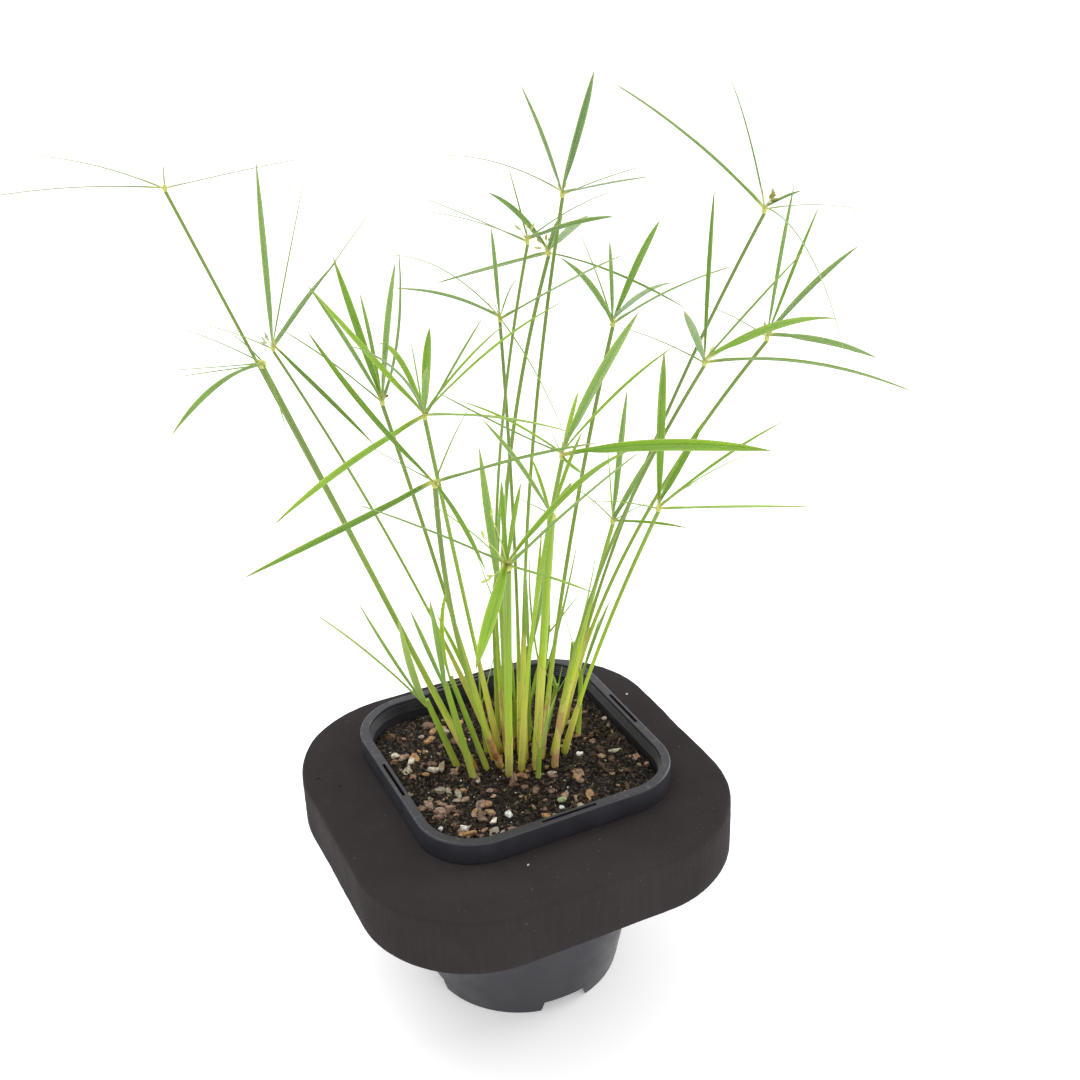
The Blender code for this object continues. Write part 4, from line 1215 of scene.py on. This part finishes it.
def leaf_tone(key, pick):
    """The place of a leaf's green on its material's ramp."""
    if key in FRESH_UMBRELLAS:
        return pick.uniform(0.6, 1.0)
    if key in SHADED_UMBRELLAS:
        return pick.uniform(0.16, 0.5)
    return pick.uniform(0.3, 0.8)


def build_umbrella(key, material):
    """A hub with its leaves."""
    hub = Vector(STEMS[key][1])
    pick = random.Random("umbrella " + key)
    shape = Shape()
    centre = hub + Vector((0.0, 0.0, HUB_HEIGHT / 2 - HUB_SINK))
    knob(shape, centre, STEMS[key][3] * HUB_SWELL + 0.15, HUB_HEIGHT, 0.8)
    for index, leaf in enumerate(UMBRELLAS[key]):
        lift = Vector((0.0, 0.0, pick.uniform(-0.8, 1.0)))
        root = centre + aim(leaf[0], 0.0) * LEAF_ROOT_REACH + lift
        tone = leaf_tone(key, pick)
        # These leaves take the ramp's pale grey-green start, a painted reflection of the sky
        if (key, index) in SKY_SHEEN_LEAVES:
            tone = 0.0
        blade(shape, root, leaf, pick, tone, TURNED_LEAVES.get((key, index), 0.0))
    keep(shape.add_object("leaves_" + key, material, 50), "leaf_green", "umbrella_" + key)


def spikelet(shape, root, direction, tone, pick):
    """A small flattened spike of overlapping scales, with a saw-tooth edge."""
    steps = SPIKELET_STEPS
    length = pick.uniform(*SPIKELET_LENGTHS)
    points = [root + direction * (length * step / steps) for step in range(steps + 1)]
    rings = []
    for step, (point, _, aside, upward) in enumerate(frames(points)):
        share = step / steps
        swell = math.sin(math.pi * mix(0.12, 0.94, share)) ** 0.7
        made = []
        for across, angle in around(SPIKELET_SIDES):
            odd = (step + (across >= 0.5)) % 2
            tooth = 1.0 + SPIKELET_TOOTH * (1 if odd else -1)
            wide = SPIKELET_WIDTH / 2 * swell * tooth * math.cos(angle)
            thick = SPIKELET_WIDTH / 4 * swell * math.sin(angle)
            place = point + aside * wide + upward * thick
            made.append(shape.point(place, share, across, tone))
        rings.append(made)
    ends = [shape.point(points[end], share, 0.5, tone) for end, share in ((0, 0.0), (-1, 1.0))]
    shape.close(rings, *ends)


def build_spray(key, material):
    """The thin rays and spikelets that stand on a hub."""
    pick = random.Random("spray " + key)
    start = Vector(STEMS[key][1]) + Vector((0.0, 0.0, HUB_HEIGHT / 2))
    shape = Shape()
    for heading, rise, reach, count, tone in SPRAYS[key]:
        bend = pick.uniform(-14.0, 14.0)
        points = [start.copy()]
        radii = [RAY_RADII[0]]
        for step in range(RAY_STEPS):
            direction = aim(heading, rise + bend * step / RAY_STEPS)
            points.append(points[-1] + direction * (reach / RAY_STEPS))
            radii.append(mix(*RAY_RADII, (step + 1) / RAY_STEPS))
        numbers = [(0.0, max(0.6, tone), 0.0, 0.0)] * len(points)
        tube(shape, points, radii, numbers, sides=6, ripple=0.0)
        for number in range(count):
            spread = aim(heading + pick.uniform(-50.0, 50.0), rise + pick.uniform(-35.0, 35.0))
            back = points[-1 - number % 3]
            spikelet(shape, back, spread, tone + pick.uniform(-0.06, 0.06), pick)
    keep(shape.add_object("flowers_" + key, material, 60), "leaf_green")


def build_shoot(key, material):
    """A young shoot: a short stem that opens into a few upright leaves."""
    foot, fork, radius, leaves = SHOOTS[key]
    pick = random.Random("shoot " + key)
    shape = Shape()
    start = Vector((foot[0], foot[1], STEM_START - STEM_DEPTH))
    end = Vector(fork) + Vector((0.0, 0.0, STALK_REACH))
    points = []
    radii = []
    numbers = []
    for step in range(STALK_STEPS + 1):
        share = step / STALK_STEPS
        points.append(start.lerp(end, share))
        radii.append(mix(radius, radius * STALK_TAPER, share))
        numbers.append((0.16 * share, 0.75, 0.0, 0.0))
    tube(shape, points, radii, numbers)
    for leaf in leaves:
        blade(shape, Vector(fork) + aim(leaf[0], 0.0) * 0.4, leaf, pick, pick.uniform(0.45, 1.0))
    keep(shape.add_object("shoot_blades_" + key, material, 50), "shoot_green", "shoot_" + key)


def build_stub(material):
    """A cut shoot: a short straw-coloured tube that leans and closes at its end."""
    start = Vector((*STUB_FOOT, soil_at(*STUB_FOOT)[0] - 1.0))
    steps = len(STUB_SHARES) - 1
    points = []
    radii = []
    numbers = []
    for step, swell in enumerate(STUB_SHARES):
        points.append(start + Vector(STUB_LEAN) * (STUB_HEIGHT * step / steps))
        radii.append(STUB_RADIUS * swell)
        numbers.append((0.04, 0.9, 1.0, mix(0.15, 0.5, step / steps)))
    shape = Shape()
    tube(shape, points, radii, numbers)
    keep(shape.add_object("cut_stub", material, 60), "stem_green")


def build_stage():
    """A pale floor, a bright even sky and soft lamps."""
    bpy.ops.mesh.primitive_plane_add(size=FLOOR_SIZE)
    floor = bpy.context.object
    floor.name = "floor"
    surface = Surface("pale_floor", 0.9, 0.0)
    surface.colour((*FLOOR_COLOUR, 1.0))
    surface.shader.inputs["Emission Color"].default_value = (1.0, 1.0, 1.0, 1.0)
    surface.shader.inputs["Emission Strength"].default_value = FLOOR_GLOW
    floor.data.materials.append(surface.material)
    world = bpy.data.worlds.new("sky")
    bpy.context.scene.world = world
    world.use_nodes = True
    sky = world.node_tree.nodes["Background"]
    sky.inputs["Color"].default_value = (1.0, 1.0, 1.0, 1.0)
    sky.inputs["Strength"].default_value = SKY_STRENGTH
    for name, place, size, power in LAMPS:
        lamp = bpy.data.lights.new(name, "AREA")
        lamp.size = size
        lamp.energy = power
        holder = add_to_scene(name, lamp)
        holder.location = place
        toward = Vector(CAMERA_TARGET) * MM - Vector(place)
        holder.rotation_euler = toward.to_track_quat("-Z", "Y").to_euler()
    bpy.context.scene.view_settings.view_transform = "Standard"


def build_camera():
    """The photo's own viewpoint."""
    azimuth = math.radians(CAMERA_AZIMUTH)
    back = aim(CAMERA_AZIMUTH - 90.0, CAMERA_ELEVATION)
    roll = math.radians(CAMERA_ROLL)
    level = Vector((math.cos(azimuth), math.sin(azimuth), 0.0))
    upright = back.cross(level)
    right = level * math.cos(roll) + upright * math.sin(roll)
    up = upright * math.cos(roll) - level * math.sin(roll)
    lens = bpy.data.cameras.new("camera")
    lens.sensor_width = SENSOR
    lens.lens = SENSOR * FOCAL_SHARE
    lens.clip_end = CAMERA_REACH
    camera = add_to_scene("camera", lens)
    place = (Vector(CAMERA_TARGET) + back * CAMERA_DISTANCE) * MM
    camera.matrix_world = Matrix.Translation(place) @ Matrix((right, up, back)).transposed().to_4x4()
    bpy.context.scene.camera = camera


build_stage()
build_camera()
build_pot(pot_surface())
build_collar(foam_surface())
build_soil(soil_surface())
build_litter(crumb_surface())

stem_green = stem_surface("stem_green_skin")
build_stub(stem_green)
# The leaf greens start at a pale grey-green, a painted reflection of the sky on some leaves
leaf_green = leaf_surface(
    "leaf_green_blade",
    ((0.0, (0.24, 0.31, 0.21)), (0.14, (0.095, 0.155, 0.068)), (0.35, (0.085, 0.155, 0.024)),
     (0.65, (0.13, 0.235, 0.022)), (1.0, (0.23, 0.36, 0.036))),
    (0.27, 0.38, 0.07), (0.56, 0.56, 0.17))
shoot_green = leaf_surface(
    "shoot_green_blade",
    ((0.0, (0.10, 0.20, 0.022)), (0.5, (0.18, 0.31, 0.024)), (1.0, (0.33, 0.46, 0.05))),
    (0.36, 0.47, 0.08), (0.50, 0.52, 0.11))
spikelet_skin = flower_surface("spikelet_scales")
for stem_key in STEMS:
    build_stem(stem_key, stem_green)
    build_umbrella(stem_key, leaf_green)
for spray_key in SPRAYS:
    build_spray(spray_key, spikelet_skin)
for shoot_key in SHOOTS:
    build_shoot(shoot_key, shoot_green)
